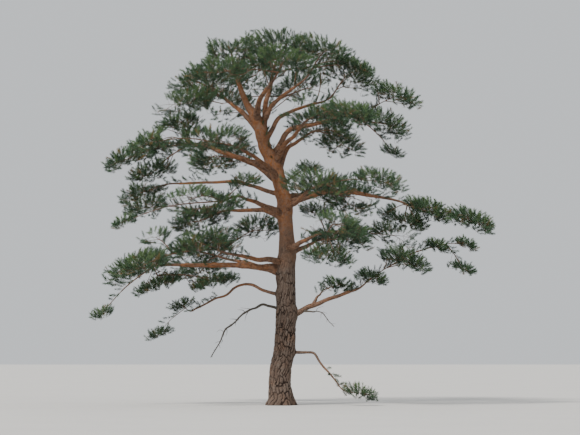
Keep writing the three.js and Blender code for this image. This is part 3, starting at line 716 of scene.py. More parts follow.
# Sky shows through the crown here, as seen from the eye: right, up, half width, half height.
# Shoots that stand before one of these ellipses are left out.
EYE = np.array([AIM[0], -EYE_DISTANCE, EYE_HEIGHT])
SKY_GAPS = np.array([
    (-2.26, 9.5, 0.34, 0.4),
    (-1.5, 9.86, 0.5, 0.16),
    (-0.2, 8.66, 0.24, 0.16),
    (1.15, 8.42, 0.34, 0.16),
    (0.95, 8.12, 0.34, 0.12),
    (0.4, 7.95, 0.4, 0.17),
    (0.78, 7.52, 0.22, 0.14),
    (-3.0, 8.02, 0.22, 0.14),
    (-1.66, 8.04, 0.24, 0.14),
    (-2.06, 7.76, 0.26, 0.15),
    (-2.95, 7.2, 0.3, 0.18),
    (-2.2, 7.12, 0.32, 0.13),
    (-1.4, 7.06, 0.26, 0.13),
    (-1.75, 6.72, 0.34, 0.11),
    (-2.4, 5.42, 0.72, 0.19),
    (2.15, 5.5, 0.44, 0.14),
    (3.28, 5.2, 0.24, 0.15),
    (0.5, 5.56, 0.22, 0.12),
    (1.1, 4.8, 0.58, 0.17),
    (3.2, 4.5, 0.26, 0.16),
    (-3.4, 4.46, 0.3, 0.12),
    (-2.5, 3.86, 0.26, 0.14),
    (-1.2, 3.98, 0.34, 0.14),
])


@dataclass
class Growth:
    """The twigs and shoots of one mass, as points that each hang on an earlier point."""
    name: str
    level: str
    stems: list
    points: np.ndarray
    parents: np.ndarray
    radii: np.ndarray
    woody: np.ndarray
    tips: np.ndarray
    shades: np.ndarray


def wood_cloud(limbs):
    """Points along every limb with the limb's radius there, to keep shoots clear of it."""
    clouds = []
    for limb in limbs.values():
        count = max(WOOD_LEAST, int(limb.line.length / WOOD_SPACING))
        shares = np.linspace(WOOD_FROM, 1, count)
        clouds.append(np.column_stack([limb.line.at(shares), limb.radius_at(shares)]))
    return np.vstack(clouds)


def before_sky(points):
    """Whether each point stands before a sky gap, as seen from the eye."""
    seen = EYE + (points - EYE) * (-EYE[1] / (points[:, 1] - EYE[1]))[:, None]
    offset = (seen[:, None, [0, 2]] - SKY_GAPS[None, :, :2]) / SKY_GAPS[None, :, 2:]
    return (np.sum(offset**2, axis=2) < 1).any(axis=1)


class Leafing(NamedTuple):
    """How foliage is set: shoots for each square metre, and the length of one."""
    shoots: int
    shoot_length: float


def pad_shoots(pad, leafing, rng, ribs, wood):
    """The foot, heading, length and shade of every shoot of a pad. ribs are its ribs' angles."""
    a, b, _ = pad.reach
    count = int(round(leafing.shoots * a * b * CLOSER.get(pad.owner, 1)))
    number = np.arange(count)
    angle = rng.uniform(0, TURN) + number * GOLDEN_ANGLE
    angle = angle + rng.uniform(-SHOOT_TURN, SHOOT_TURN, count)
    height = lerp(*SHOOT_BAND, ((number + 0.5) / count) ** SHOOT_TOP_BIAS)
    rim = np.sqrt(1 - height**2)
    aside = np.abs((angle[:, None] - ribs[None, :] + math.pi) % TURN - math.pi).min(axis=1)
    gap = np.minimum(1.0, aside * len(ribs) / math.pi)
    shell = SHOOT_OUTER - SHOOT_SHELL * rng.random(count) ** SHELL_POWER
    depth = shell * (1 - FINGER_DEPTH * gap**2 * rim**2)
    spread = np.column_stack([np.cos(angle) * rim, np.sin(angle) * rim, height])
    tips = pad.to_world(spread * pad.reach * depth[:, None])
    turned = angle + rng.normal(0, SHOOT_ASIDE, count)
    outward = np.column_stack([np.cos(turned), np.sin(turned), np.zeros(count)]) @ pad.droop.T
    lift = LIFT_LEAST + LIFT_BY_HEIGHT * np.maximum(height, 0) + LIFT_BY_CHANCE * rng.random(count)
    heading = outward * lerp(OUTWARD_LEAST, 1, rim)[:, None] + UP * lift[:, None]
    heading = unit(heading + rng.normal(0, SHOOT_UNEVEN, (count, 3)))
    length = leafing.shoot_length * rng.uniform(*SHOOT_LENGTHS, count)
    feet = tips - heading * length[:, None]
    kept = pad.holds(tips) & pad.holds(feet)
    kept &= np.minimum(tips[:, 2], feet[:, 2]) > GROUND_CLEARANCE
    kept &= ~before_sky((tips + feet) / 2)
    low, high = (np.array(corner) for corner in CAD_BOX)
    kept &= np.all((tips > low - PAST_BOX) & (tips < high + PAST_BOX), axis=1)
    from_wood = np.linalg.norm(feet[:, None, :] - wood[None, :, :3], axis=2)
    kept &= ~(from_wood < wood[:, 3] + WOOD_CLEARANCE).any(axis=1)
    shades = pick_shades(height, depth, rng)
    return feet[kept], heading[kept], length[kept], shades[kept]


def sprigs(places, radii, leafing, rng):
    """The foot, heading, length and shade of shoots that stand along bare wood."""
    count = len(places)
    along = unit(np.gradient(places, axis=0))
    side = unit(np.cross(along, UP))
    over = np.cross(side, along)
    angle = rng.uniform(0, TURN) + np.arange(count) * GOLDEN_ANGLE
    out = side * np.cos(angle)[:, None] + over * np.abs(np.sin(angle))[:, None]
    out = unit(out + along * SPRIG_FORWARD)
    slid = along * rng.normal(0, SPRIG_SLIDE, count)[:, None]
    feet = places + slid + out * (radii + rng.uniform(*SPRIG_REACH, count))[:, None]
    heading = out + along * SPRIG_LEAN + UP * SPRIG_RISE
    heading = unit(heading + rng.normal(0, SPRIG_UNEVEN, (count, 3)))
    length = leafing.shoot_length * rng.uniform(*SHOOT_LENGTHS, count) * SPRIG_LENGTH
    # Sprigs get the shaded or the mature green at random, so painted shade but never painted
    # light.
    return feet, heading, length, rng.integers(PAINTED_SHADE, FRESH_AND_LIT, count)


def pick_shades(height, depth, rng):
    """Each shoot's shade: painted light and shade by its height in the pad and how far out it
    lies.
    """
    light = LIGHT_BY_HEIGHT * height + LIGHT_BY_DEPTH * (depth - LIT_DEPTH)
    light = light + rng.normal(0, LIGHT_UNEVEN, len(height))
    shades = np.where(light < MATURE_FROM, PAINTED_SHADE, np.where(light < FRESH_AND_LIT_FROM, MATURE, FRESH_AND_LIT))
    return np.where(rng.random(len(height)) < OLD_SHARE, OLD, shades)


class Grower:
    """Points that are joined one by one to the nearest earlier point."""

    def __init__(self, most):
        self.points = np.zeros((most, 3))
        self.parents = np.full(most, -1)
        self.path = np.zeros(most)
        self.count = 0

    def add(self, point, parent):
        """A new point on an earlier one, or on none where the parent is -1."""
        here = self.count
        self.points[here] = point
        self.parents[here] = parent
        if parent >= 0:
            self.path[here] = self.path[parent] + np.linalg.norm(point - self.points[parent])
        self.count += 1
        return here

    def nearest(self, target, forward):
        """The point nearest to a target. forward adds a share of the way already grown."""
        gaps = np.linalg.norm(self.points[:self.count] - target, axis=1)
        return int(np.argmin(gaps + forward * self.path[:self.count]))

    def reach(self, target, bend, forward):
        """Grows a twig from the nearest point to a target, towards bend(start, gap) at first."""
        parent = self.nearest(target, forward)
        start = self.points[parent].copy()
        gap = np.linalg.norm(target - start)
        steps = max(1, round(gap / TWIG_STEP))
        control = bend(start, gap)
        for step in range(1, steps + 1):
            x = step / steps
            point = start * (1 - x) ** 2 + control * 2 * x * (1 - x) + target * x * x
            parent = self.add(point, parent)
        return parent


def grow_pad(pad, lead, leafing, rng, wood):
    """The twigs and shoots of a pad. lead is the wood before its axis, with the radii there,
    and wood is what its shoots keep clear of."""
    a, b, c = pad.reach
    rib_count = round(RIBS_LEAST + RIBS_PER_METRE * math.sqrt(a * b))
    rib_angles = rng.uniform(0, TURN) + np.arange(rib_count) * GOLDEN_ANGLE
    rib_heads = pad.to_world(np.column_stack([
        np.cos(rib_angles) * a * RIB_REACH,
        np.sin(rib_angles) * b * RIB_REACH,
        c * rng.uniform(*RIB_RISE, rib_count),
    ]))
    shoots = [pad_shoots(pad, leafing, rng, rib_angles, wood)]

    shares = np.linspace(0, 1, max(AXIS_PLACES, int(pad.axis.length / SPRIG_SPACING)))
    axis = np.vstack([lead[:, :3], pad.axis.at(shares)])
    radii = np.concatenate([lead[:, 3], np.full(len(shares), AXIS_RADIUS)])
    bare = ~pad.holds(axis, BARE_BEYOND)
    if bare.sum() > BARE_PLACES:
        shoots.append(sprigs(axis[bare], radii[bare], leafing, rng))
    feet, heading, length, shades = (np.concatenate(column) for column in zip(*shoots))
    grower = Grower(ROOM_LEAST + ROOM_FOR_SHOOT * len(feet) + ROOM_FOR_RIB * rib_count)
    parent = -1
    for point in axis:
        parent = grower.add(point, parent)
    woody = grower.count

    for head in rib_heads[pad.holds(rib_heads)]:
        arch = UP * RIB_ARCH + rng.normal(0, RIB_SWAY, 3)
        grower.reach(head, lambda start, gap: (start + head) / 2 + arch * gap, RIB_FORWARD)

    grown = grower.points[:grower.count]
    gaps = np.linalg.norm(feet[:, None, :] - grown[None, :, :], axis=2).min(axis=1)
    order = np.argsort(gaps)
    tips = []
    for i in order:
        foot = grower.reach(
            feet[i], lambda start, gap: feet[i] - heading[i] * gap * TWIG_BEND, TWIG_FORWARD)
        tips.append(grower.add(feet[i] + heading[i] * length[i], foot))
        grower.path[tips[-1]] = math.inf  # nothing grows on from a shoot's tip
    return grower, woody, np.array(tips, int), shades[order]


def limb_end(limb):
    """Points with their radii along the last part of a limb."""
    shares = np.arange(SPRIG_FROM, 1, SPRIG_SPACING / limb.line.length)
    return np.column_stack([limb.line.at(shares), limb.radius_at(shares)])


def twig_radii(grower, tips):
    """Twigs thicken with the number of shoots that they carry."""
    load = np.zeros(grower.count)
    load[tips] = 1
    for here in range(grower.count - 1, 0, -1):
        parent = grower.parents[here]
        if parent >= 0:
            load[parent] += load[here]
    return TWIG_LEAST_RADIUS * np.maximum(load, 1) ** TWIG_SWELL


@lru_cache(maxsize=1)
def grow_foliage(leafing):
    """The twigs and shoots of every mass."""
    limbs, masses = grow_limbs()
    wood = wood_cloud(limbs)
    growths = []
    for number, mass in enumerate(masses):
        parts = []
        total = 0
        for place, pad in enumerate(mass.pads):
            rng = np.random.default_rng([SEED, number, place])
            lead = limb_end(mass.limb) if place == 0 else np.zeros((0, 4))
            low, high = pad.box()
            near = (wood[:, :3] > low - WOOD_NEAR) & (wood[:, :3] < high + WOOD_NEAR)
            grower, woody, tips, shades = grow_pad(
                pad, lead, leafing, rng, wood[near.all(axis=1)])
            count = grower.count
            parents = grower.parents[:count]
            parts.append((
                grower.points[:count],
                np.where(parents >= 0, parents + total, -1),
                twig_radii(grower, tips),
                np.arange(count) < woody,
                tips + total,
                shades,
            ))
            total += count
        joined = [np.concatenate(column) for column in zip(*parts)]
        growths.append(Growth(mass.name, mass.level, mass.stems, *joined))
    return growths


def foliage_of(scene):
    """The twigs and shoots of every mass, by the scene's settings. They are grown again only
    when those change."""
    settings = scene.pine_foliage
    return grow_foliage(Leafing(settings.shoots, settings.shoot_length))


# Meshes from arrays: tubes along lines, thin twigs and needles.

LEAST_RINGS = 3


def tube_frames(line, shares):
    """The middle of each ring, and two directions across it that turn as little as can be."""
    middles = line.at(shares)
    steps = unit(np.gradient(middles, axis=0))
    side, over = cross_axes(line.direction(0.0))
    sides, overs = [], []
    for step in steps:
        over = unit(np.cross(side, step))
        side = unit(np.cross(step, over))
        sides.append(side)
        overs.append(over)
    return middles, np.array(sides), np.array(overs)


def tube_triangles(rings, sides):
    """Triangles of a tube's wall, and a flat fan at each end."""
    ring, corner = np.meshgrid(np.arange(rings - 1), np.arange(sides), indexing="ij")
    here = (ring * sides + corner).ravel()
    beside = (ring * sides + (corner + 1) % sides).ravel()
    wall = np.column_stack([here, beside, beside + sides, here, beside + sides, here + sides])
    inner = np.arange(1, sides - 1)
    foot = np.column_stack([np.zeros_like(inner), inner + 1, inner])
    last = (rings - 1) * sides
    head = np.column_stack([np.full_like(inner, last), last + inner, last + inner + 1])
    return np.vstack([wall.reshape(-1, 3), foot, head])


def tube(line, radius_at, spacing, sides):
    """A tube's points, its triangles, and each point's outward direction, angle and distance
    along the line. radius_at(shares, angles) gives the radius of every point."""
    rings = max(LEAST_RINGS, int(line.length / spacing) + 1)
    shares = np.linspace(0, 1, rings)
    middles, across, over = tube_frames(line, shares)
    angles = np.arange(sides) * TURN / sides
    radius = np.broadcast_to(radius_at(shares[:, None], angles[None, :]), (rings, sides))
    outward = across[:, None, :] * np.cos(angles)[None, :, None] \
        - over[:, None, :] * np.sin(angles)[None, :, None]
    points = middles[:, None, :] + outward * radius[..., None]
    along = np.broadcast_to((shares * line.length)[:, None], radius.shape)
    around = np.broadcast_to(angles[None, :], radius.shape)
    return points.reshape(-1, 3), tube_triangles(rings, sides), outward.reshape(-1, 3), \
        around.ravel(), along.ravel()


def twig_frames(growth, drawn):
    """At each point: the step that leads there, the way that the twig runs, a direction across
    it that turns as little as can be, and the thickest twig that goes on from there."""
    points, parents, radii = growth.points, growth.parents, growth.radii
    count = len(points)
    step = np.zeros((count, 3))
    step[drawn] = unit(points[drawn] - points[parents[drawn]])
    heir = np.full(count, -1)
    for here in np.nonzero(drawn)[0][np.argsort(radii[drawn], kind="stable")]:
        heir[parents[here]] = here
    depth = np.zeros(count, int)
    for here in np.nonzero(parents >= 0)[0]:
        depth[here] = depth[parents[here]] + 1
    tangent = step.copy()
    has_heir = drawn & (heir >= 0)
    tangent[has_heir] = unit(step[has_heir] + step[heir[has_heir]])
    side = unit(np.cross(tangent + NUDGE, ASKEW))
    for level in range(2, depth.max() + 1):
        now = np.nonzero(drawn & (depth == level) & drawn[parents])[0]
        side[now] = square_to(side[parents[now]], tangent[now])
    return step, tangent, side, heir


def twig_tubes(growth, thick):
    """Tubes along the thick twigs of a mass, or along its thin ones, which end in shoots."""
    sides = THICK_SIDES if thick else THIN_SIDES
    points, parents, radii = growth.points, growth.parents, growth.radii
    count = len(points)
    drawn = ~growth.woody & (parents >= 0)
    is_tip = np.zeros(count, bool)
    is_tip[growth.tips] = True
    is_thick = (radii >= THICK_TWIG) & ~is_tip
    ours = drawn & (is_thick == thick)
    step, tangent, side, heir = twig_frames(growth, drawn)

    goes_on = ours & ours[parents] & (heir[parents] == np.arange(count))
    starts = np.nonzero(ours & ~goes_on)[0]
    rings = np.nonzero(ours & ~is_tip)[0]
    apexes = np.nonzero(ours & is_tip)[0]
    angles = np.arange(sides) * TURN / sides

    def ring_points(middles, across, headings, radius):
        over = np.cross(headings, across)
        ring = middles[:, None, :] + radius[:, None, None] * (
            across[:, None, :] * np.cos(angles)[None, :, None]
            + over[:, None, :] * np.sin(angles)[None, :, None])
        return ring.reshape(-1, 3)

    start_side = square_to(side[starts], step[starts])
    start_radius = np.where(is_tip[starts], TWIG_LEAST_RADIUS, radii[starts] * TWIG_FOOT_SWELL)
    made = np.concatenate([
        ring_points(points[rings], side[rings], tangent[rings], radii[rings]),
        ring_points(points[parents[starts]], start_side, step[starts], start_radius),
        points[apexes],
    ])
    first = np.full(count, -1)
    first[rings] = np.arange(len(rings)) * sides
    start_first = np.full(count, -1)
    start_first[starts] = (len(rings) + np.arange(len(starts))) * sides
    apex_first = (len(rings) + len(starts)) * sides + np.arange(len(apexes))

    corner = np.arange(sides)
    beyond = (corner + 1) % sides

    def foot_of(nodes):
        return np.where(goes_on[nodes], first[parents[nodes]], start_first[nodes])

    low = foot_of(rings)[:, None]
    high = first[rings][:, None]
    walls = np.stack([
        low + corner, low + beyond, high + beyond, low + corner, high + beyond, high + corner,
    ], axis=-1).reshape(-1, 3)
    low = foot_of(apexes)[:, None]
    cones = np.stack([
        low + corner, low + beyond, np.broadcast_to(apex_first[:, None], (len(apexes), sides)),
    ], axis=-1).reshape(-1, 3)
    return made, np.vstack([walls, cones])


def needle_mesh(growth, settings, rng):
    """Pairs of needles round every shoot, each needle a long triangle on a shared foot."""
    tips = growth.tips
    feet = growth.points[growth.parents[tips]]
    shoot = growth.points[tips] - feet
    heading = unit(shoot)
    helper = np.where(np.abs(heading[:, 2:]) > STEEP_SHOOT, RIGHT, UP)
    across = unit(np.cross(heading, helper))
    over = np.cross(heading, across)

    pairs = settings.pairs
    shape = (len(tips), pairs)
    share = lerp(NEEDLES_FROM, 1.0, (np.arange(pairs) + rng.random(shape)) / pairs)
    angle = rng.uniform(0, TURN, (len(tips), 1)) + np.arange(pairs) * GOLDEN_ANGLE
    angle = angle + rng.uniform(-NEEDLE_TURN, NEEDLE_TURN, shape)
    open_angle = lerp(*NEEDLE_OPENING, share) + rng.normal(0, NEEDLE_OPENING_UNEVEN, shape)
    ring = np.cos(angle)[..., None] * across[:, None, :] \
        + np.sin(angle)[..., None] * over[:, None, :]
    out = heading[:, None, :] * np.cos(open_angle)[..., None] \
        + ring * np.sin(open_angle)[..., None]
    foot = feet[:, None, :] + shoot[:, None, :] * share[..., None]
    turned = unit(np.cross(out, rng.normal(0, 1, (*shape, 3))))
    length = settings.needle_length * rng.uniform(*NEEDLE_LENGTHS, shape)[..., None]
    half = settings.needle_width / 2
    corners = np.stack([
        foot - turned * half,
        foot + turned * half,
        foot + unit(out + turned * PAIR_SPREAD) * length,
        foot + unit(out - turned * PAIR_SPREAD) * length,
    ], axis=2)
    corners[..., 2] = np.maximum(corners[..., 2], NEEDLE_LOWEST)
    count = len(tips) * pairs
    first = 4 * np.arange(count)[:, None]
    triangles = (first + np.array([0, 1, 2, 1, 0, 3])).reshape(-1, 3)
    shades = np.repeat(growth.shades, pairs * 2)
    return corners.reshape(-1, 3), triangles, shades


def mesh_piece(name, points, triangles, materials, slots=None, layers=None, smooth=True):
    """A new mesh object with named materials, a slot for each triangle, and layers of values."""
    mesh = bpy.data.meshes.new(name)
    mesh.vertices.add(len(points))
    mesh.vertices.foreach_set("co", np.asarray(points, np.float32).ravel())
    mesh.loops.add(triangles.size)
    mesh.loops.foreach_set("vertex_index", triangles.astype(np.int32).ravel())
    mesh.polygons.add(len(triangles))
    mesh.polygons.foreach_set("loop_start", np.arange(0, triangles.size, 3, dtype=np.int32))
    mesh.polygons.foreach_set("use_smooth", np.full(len(triangles), smooth))
    for material in materials:
        mesh.materials.append(shared_material(material))
    if slots is not None:
        mesh.polygons.foreach_set("material_index", slots.astype(np.int32))
    for label, values in (layers or {}).items():
        kind, field_name = ("FLOAT_VECTOR", "vector") if values.ndim == 2 else ("FLOAT", "value")
        layer = mesh.attributes.new(label, kind, "POINT")
        layer.data.foreach_set(field_name, values.astype(np.float32).ravel())
    mesh.update(calc_edges=True)
    piece = bpy.data.objects.new(name, mesh)
    bpy.context.scene.collection.objects.link(piece)
    return piece


def join_arrays(parts):
    """Several (points, triangles, ...) joined, with what else they hold in step."""
    offset = 0
    joined = []
    for points, triangles, *rest in parts:
        joined.append((points, triangles + offset, *rest))
        offset += len(points)
    return [np.concatenate(column) for column in zip(*joined)]


def hand_over(piece, nodes):
    """The piece rides with the tree and stands for these solids, which are hidden."""
    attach(piece, "root")
    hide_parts(*nodes)


def bark_piece(name, parts, materials, nodes):
    """A piece joined from parts, which hold points, triangles, the layers of bark and, where
    there are two materials, a slot for each triangle."""
    points, triangles, *layers = join_arrays(parts)
    slots = layers.pop() if len(materials) > 1 else None
    piece = mesh_piece(name, points, triangles, materials, slots, dict(zip(BARK_LAYERS, layers)))
    hand_over(piece, nodes)


# Relief of bark: plates in the old bark, and thin flakes higher up.

class Waves(NamedTuple):
    """Waves on a limb: how many go round it, the length of each along it, and its own draw."""
    around: int
    length: float
    draw: int


# The waves that bend the furrows and make them ragged, break them and grain the bark, and
# the share that they take.
BROAD_WAVES = Waves(7, 0.21, 0)
MIDDLE_WAVES = Waves(23, 0.07, 1)
JAGS = Waves(50, 0.024, 5)
BREAKS = Waves(9, 0.13, 6)
GRAIN = Waves(70, 0.026, 4)
BROAD_SHARE = 0.55
MIDDLE_SHARE = 0.25
JAG_SHARE = 0.3
JAG_ASIDE = 0.4
JAG_ALONG = 0.3
WAVE_ALONG = 0.8
GRAIN_DEPTH = 0.0015
# Plates: where in its cell each has its middle, and how furrows widen and deepen between them.
PLATE_MIDDLE = (0.12, 0.88)
PLATE_DRAW = 2
FURROW_EDGE = 0.02
FURROW_WIDTH = 0.16
FURROW_WIDENS = 0.2
FURROW_LEAST = 0.45
PLATE_DOME = 0.3
PLATE_DOMED = (0.1, 0.6)
PLATE_UNEVEN = 0.3
# Flakes: smaller plates, two to a plate round the limb, which show more where bark is thin.
FLAKE_HEIGHT = 0.06
FLAKES_PER_PLATE = 2
FLAKE_DRAW = 3
FLAKE_UNEVEN = 0.9
FLAKE_EDGE = 0.6
FLAKE_DARK = (0.3, 0.5)
FLAKE_TONE = (0.45, 0.9)
THIN_BARK = (0.002, 0.012)
LEAST_SWAYS = 2


def plates(around, along, columns, seed):
    """How near each point is to a furrow between plates, and its plate's own tone."""
    rng = np.random.default_rng(seed)
    rows = int(along.max()) + 4
    spots = rng.uniform(*PLATE_MIDDLE, (rows, columns, 2))
    tones = rng.random((rows, columns))
    column, row = np.floor(around).astype(int), np.floor(along).astype(int)
    first = np.full(len(around), math.inf)
    second = first.copy()
    tone = np.zeros(len(around))
    for down in (-1, 0, 1):
        for beside in (-1, 0, 1):
            spot = spots[row + down + 1, (column + beside) % columns]
            gap = np.hypot(
                column + beside + spot[:, 0] - around, row + down + spot[:, 1] - along)
            nearer = gap < first
            second = np.where(nearer, first, np.minimum(second, gap))
            tone = np.where(nearer, tones[row + down + 1, (column + beside) % columns], tone)
            first = np.minimum(first, gap)
    return second - first, tone


def ripple(around, along, waves, seed):
    """Smooth random waves from -1 to 1 that close round a limb."""
    rng = np.random.default_rng(seed + waves.draw)
    x, y = around / TURN * waves.around, along / waves.length
    heights = rng.uniform(-1, 1, (int(y.max()) + 3, waves.around))
    column, row = np.floor(x).astype(int), np.floor(y).astype(int)
    left, right = column % waves.around, (column + 1) % waves.around
    low = lerp(heights[row, left], heights[row, right], ease(x - column))
    high = lerp(heights[row + 1, left], heights[row + 1, right], ease(x - column))
    return lerp(low, high, ease(y - row))


def bark_relief(around, along, girth, depth, flake_depth, settings, seed):
    """How far bark stands out or in at each point, and the furrows and tones that colour it.
    girth is the number of plates round the limb, and depth the depth between them."""
    turns = around / TURN
    wave = BROAD_SHARE * ripple(around, along, BROAD_WAVES, seed) \
        + MIDDLE_SHARE * ripple(around, along, MIDDLE_WAVES, seed)
    jag = JAG_SHARE * ripple(around, along, JAGS, seed)
    edge, tone = plates(
        (turns * girth + wave + JAG_ASIDE * jag) % girth,
        along / settings.plate_height + 1 + WAVE_ALONG * wave + JAG_ALONG * jag,
        girth, seed + PLATE_DRAW)
    broken = 0.5 + 0.5 * ripple(around, along, BREAKS, seed)
    furrow = 1 - smoothstep(FURROW_EDGE, FURROW_WIDTH + FURROW_WIDENS * broken, edge)
    furrow = furrow * lerp(FURROW_LEAST, 1, broken)

    flakes = girth * FLAKES_PER_PLATE
    flake_edge, flake_tone = plates(
        (turns * flakes + wave * FLAKES_PER_PLATE + jag) % flakes,
        along / FLAKE_HEIGHT + 1 + wave + jag, flakes, seed + FLAKE_DRAW)
    flake = 1 - smoothstep(FURROW_EDGE, FURROW_WIDTH, flake_edge)
    plate = PLATE_DOME * smoothstep(*PLATE_DOMED, edge) + PLATE_UNEVEN * (tone - 0.5) - furrow
    scale = FLAKE_UNEVEN * (flake_tone - 0.5) - FLAKE_EDGE * flake
    raised = depth * plate + flake_depth * scale \
        + GRAIN_DEPTH * ripple(around, along, GRAIN, seed)
    thin = 1 - smoothstep(*THIN_BARK, depth)
    dark = np.maximum(furrow * (1 - thin), lerp(*FLAKE_DARK, thin) * flake)
    return raised, dark, lerp(tone, flake_tone, lerp(*FLAKE_TONE, thin))


def sway(line, along, size, length, seed):
    """A smooth sideways wander along a line, in waves of a length, that fades at its ends."""
    waves = max(LEAST_SWAYS, int(line.length / length))
    knots = np.random.default_rng(seed).normal(0, size, (waves + 2, 3))
    shares = along / line.length
    place = np.clip(shares, 0, 1) * waves
    low = place.astype(int)
    x = ease(place - low)[:, None]
    return lerp(knots[low], knots[low + 1], x) * np.sin(math.pi * shares)[:, None]


# Materials, all of them procedural.

class Noise(NamedTuple):
    """A noise: how fine it is, how much detail it has, and how rough that is."""
    scale: float
    detail: float = 4.0
    roughness: float = 0.55


class Spread(NamedTuple):
    """A range of values, and what its low end and its high end become."""
    low: float
    high: float
    to_low: float = 0.0
    to_high: float = 1.0


class Mottle(NamedTuple):
    """A matt look that darkens and lightens by a share, in patches and grains so fine."""
    roughness: float
    change: float
    patches: float
    grains: float


SPECULAR = 0.25
BUMP_DISTANCE = 0.004
# A mix node's sockets by number, because their names repeat.
MIX_SHARE, MIX_LOW, MIX_HIGH, MIX_COLOUR = 0, 6, 7, 2

# Bark is worn pale by its grain and by the tone of each plate. High up it is orange, duller
# on some flakes and rusty in patches. Furrows are dark, and the grain is a little.
BARK_LAYERS = ("furrow", "tone", "upper")
BARK_ROUGHNESS = 0.88
BARK_GRAIN = Noise(55.0, 6.0, 0.65)
BARK_BUMPS = Noise(140.0, 5.0, 0.7)
BARK_BUMP_STRENGTH = 0.5
WORN_BY_GRAIN = Spread(0.35, 0.7, 0.0, 0.45)
WORN_BY_TONE = Spread(0.2, 1.0, 0.0, 0.6)
UPPER_PATCHES = Noise(3.2, 3.0)
UPPER_BY_PATCH = Spread(0.3, 0.7, -0.25, 0.25)
BRIGHT_BY_TONE = Spread(0.15, 0.85)
DULL_ORANGE_SHARE = 0.45
DULL_PALE_SHARE = 0.62
RUST_PATCHES = Noise(11.0, 6.0, 0.7)
RUST_BY_PATCH = Spread(0.5, 0.68, 0.0, 0.75)
RUST_SHARE = 0.42
DARK_BY_GRAIN = Spread(0.3, 0.7, 0.35, 0.0)
DARK_BY_FURROW = Spread(0.05, 0.6)
# Dead wood has grain along it, dark in the cracks, and is stained warm in patches.
DEAD_ROUGHNESS = 0.82
DEAD_GRAIN = Noise(9.0, 5.0, 0.6)
DEAD_BUMP_STRENGTH = 0.7
DEAD_STAINS = Noise(5.0, 3.0)
WARM_BY_STAIN = Spread(0.35, 0.7)
WARM_TINT = (0.86, 0.74, 0.6)
DARK_BY_DEAD_GRAIN = Spread(0.42, 0.62, 0.85, 0.0)
DEAD_DARK_SHARE = 0.34
# The mottled looks, and how the two noises of each become light and dark.
TWIG_MOTTLE = Mottle(0.85, 0.35, 7.0, 90.0)
NEEDLE_MOTTLE = Mottle(0.6, 0.28, 2.5, 30.0)
FLOOR_MOTTLE = Mottle(0.9, 0.03, 0.4, 6.0)
MOTTLE_GRAIN_DETAIL = 2.0
MOTTLE_GRAIN_SHARE = 0.5
LIGHT_BY_MOTTLE = Spread(0.35, 0.65)


def fill(node, values):
    """Give each input of a node its value, or a link where the value is another's output."""
    for key, value in values.items():
        if isinstance(value, bpy.types.NodeSocket):
            node.id_data.links.new(value, node.inputs[key])
        else:
            node.inputs[key].default_value = value


def new_material(name, roughness):
    """A material, its main shader, and a maker of further nodes."""
    material = bpy.data.materials.new(name)
    material.use_nodes = True
    nodes = material.node_tree.nodes
    shader = nodes["Principled BSDF"]
    fill(shader, {"Roughness": roughness, "Specular IOR Level": SPECULAR})

    def make(kind, values=None, **settings):
        node = nodes.new(kind)
        for key, value in settings.items():
            setattr(node, key, value)
        fill(node, values or {})
        return node

    return material, shader, make


def tinted(colour, shares=1.0):
    """A solid colour with each of its parts multiplied by a share, and none over 1."""
    return (*np.minimum(np.multiply(colour, shares), 1.0), 1.0)


def mixed(make, share, low, high):
    """A colour between two colours."""
    node = make("ShaderNodeMix", data_type="RGBA")
    fill(node, {MIX_SHARE: share, MIX_LOW: low, MIX_HIGH: high})
    return node.outputs[MIX_COLOUR]


def added(make, one, other):
    """The sum of two values, kept from 0 to 1."""
    return make("ShaderNodeMath", {0: one, 1: other}, operation="ADD", use_clamp=True).outputs[0]


def spread(make, value, way):
    """A value taken from one range to another."""
    return make(
        "ShaderNodeMapRange", {"Value": value, "From Min": way.low, "From Max": way.high,
                               "To Min": way.to_low, "To Max": way.to_high},
    ).outputs["Result"]


def noise(make, place, kind):
    return make(
        "ShaderNodeTexNoise",
        {"Vector": place, "Scale": kind.scale, "Detail": kind.detail,
         "Roughness": kind.roughness},
    ).outputs["Fac"]


def bump(make, height, strength):
    return make(
        "ShaderNodeBump", {"Height": height, "Strength": strength, "Distance": BUMP_DISTANCE},
    ).outputs["Normal"]


def bark_material(settings):
    """Grey-brown plates low down and orange flakes high up, dark in the furrows."""
    material, shader, make = new_material("pine_bark", BARK_ROUGHNESS)
    place = make("ShaderNodeTexCoord").outputs["Object"]
    furrow, tone, upper = (
        make("ShaderNodeAttribute", attribute_name=layer).outputs["Fac"] for layer in BARK_LAYERS)
    grain = noise(make, place, BARK_GRAIN)
    worn = added(make, spread(make, grain, WORN_BY_GRAIN), spread(make, tone, WORN_BY_TONE))
    plate = mixed(make, worn, tinted(settings.plate_colour), tinted(settings.pale_colour))

    dull = np.multiply(settings.orange_colour, DULL_ORANGE_SHARE) \
        + np.multiply(settings.pale_colour, DULL_PALE_SHARE)
    orange = mixed(
        make, spread(make, tone, BRIGHT_BY_TONE), tinted(dull), tinted(settings.orange_colour))
    rusty = spread(make, noise(make, place, RUST_PATCHES), RUST_BY_PATCH)
    orange = mixed(make, rusty, orange, tinted(settings.orange_colour, RUST_SHARE))

    patches = noise(make, place, UPPER_PATCHES)
    high_up = added(make, upper, spread(make, patches, UPPER_BY_PATCH))
    colour = mixed(make, high_up, plate, orange)
    for value, way in ((grain, DARK_BY_GRAIN), (furrow, DARK_BY_FURROW)):
        colour = mixed(make, spread(make, value, way), colour, tinted(settings.furrow_colour))
    bumps = bump(make, noise(make, place, BARK_BUMPS), BARK_BUMP_STRENGTH)
    fill(shader, {"Base Color": colour, "Normal": bumps})
    return material


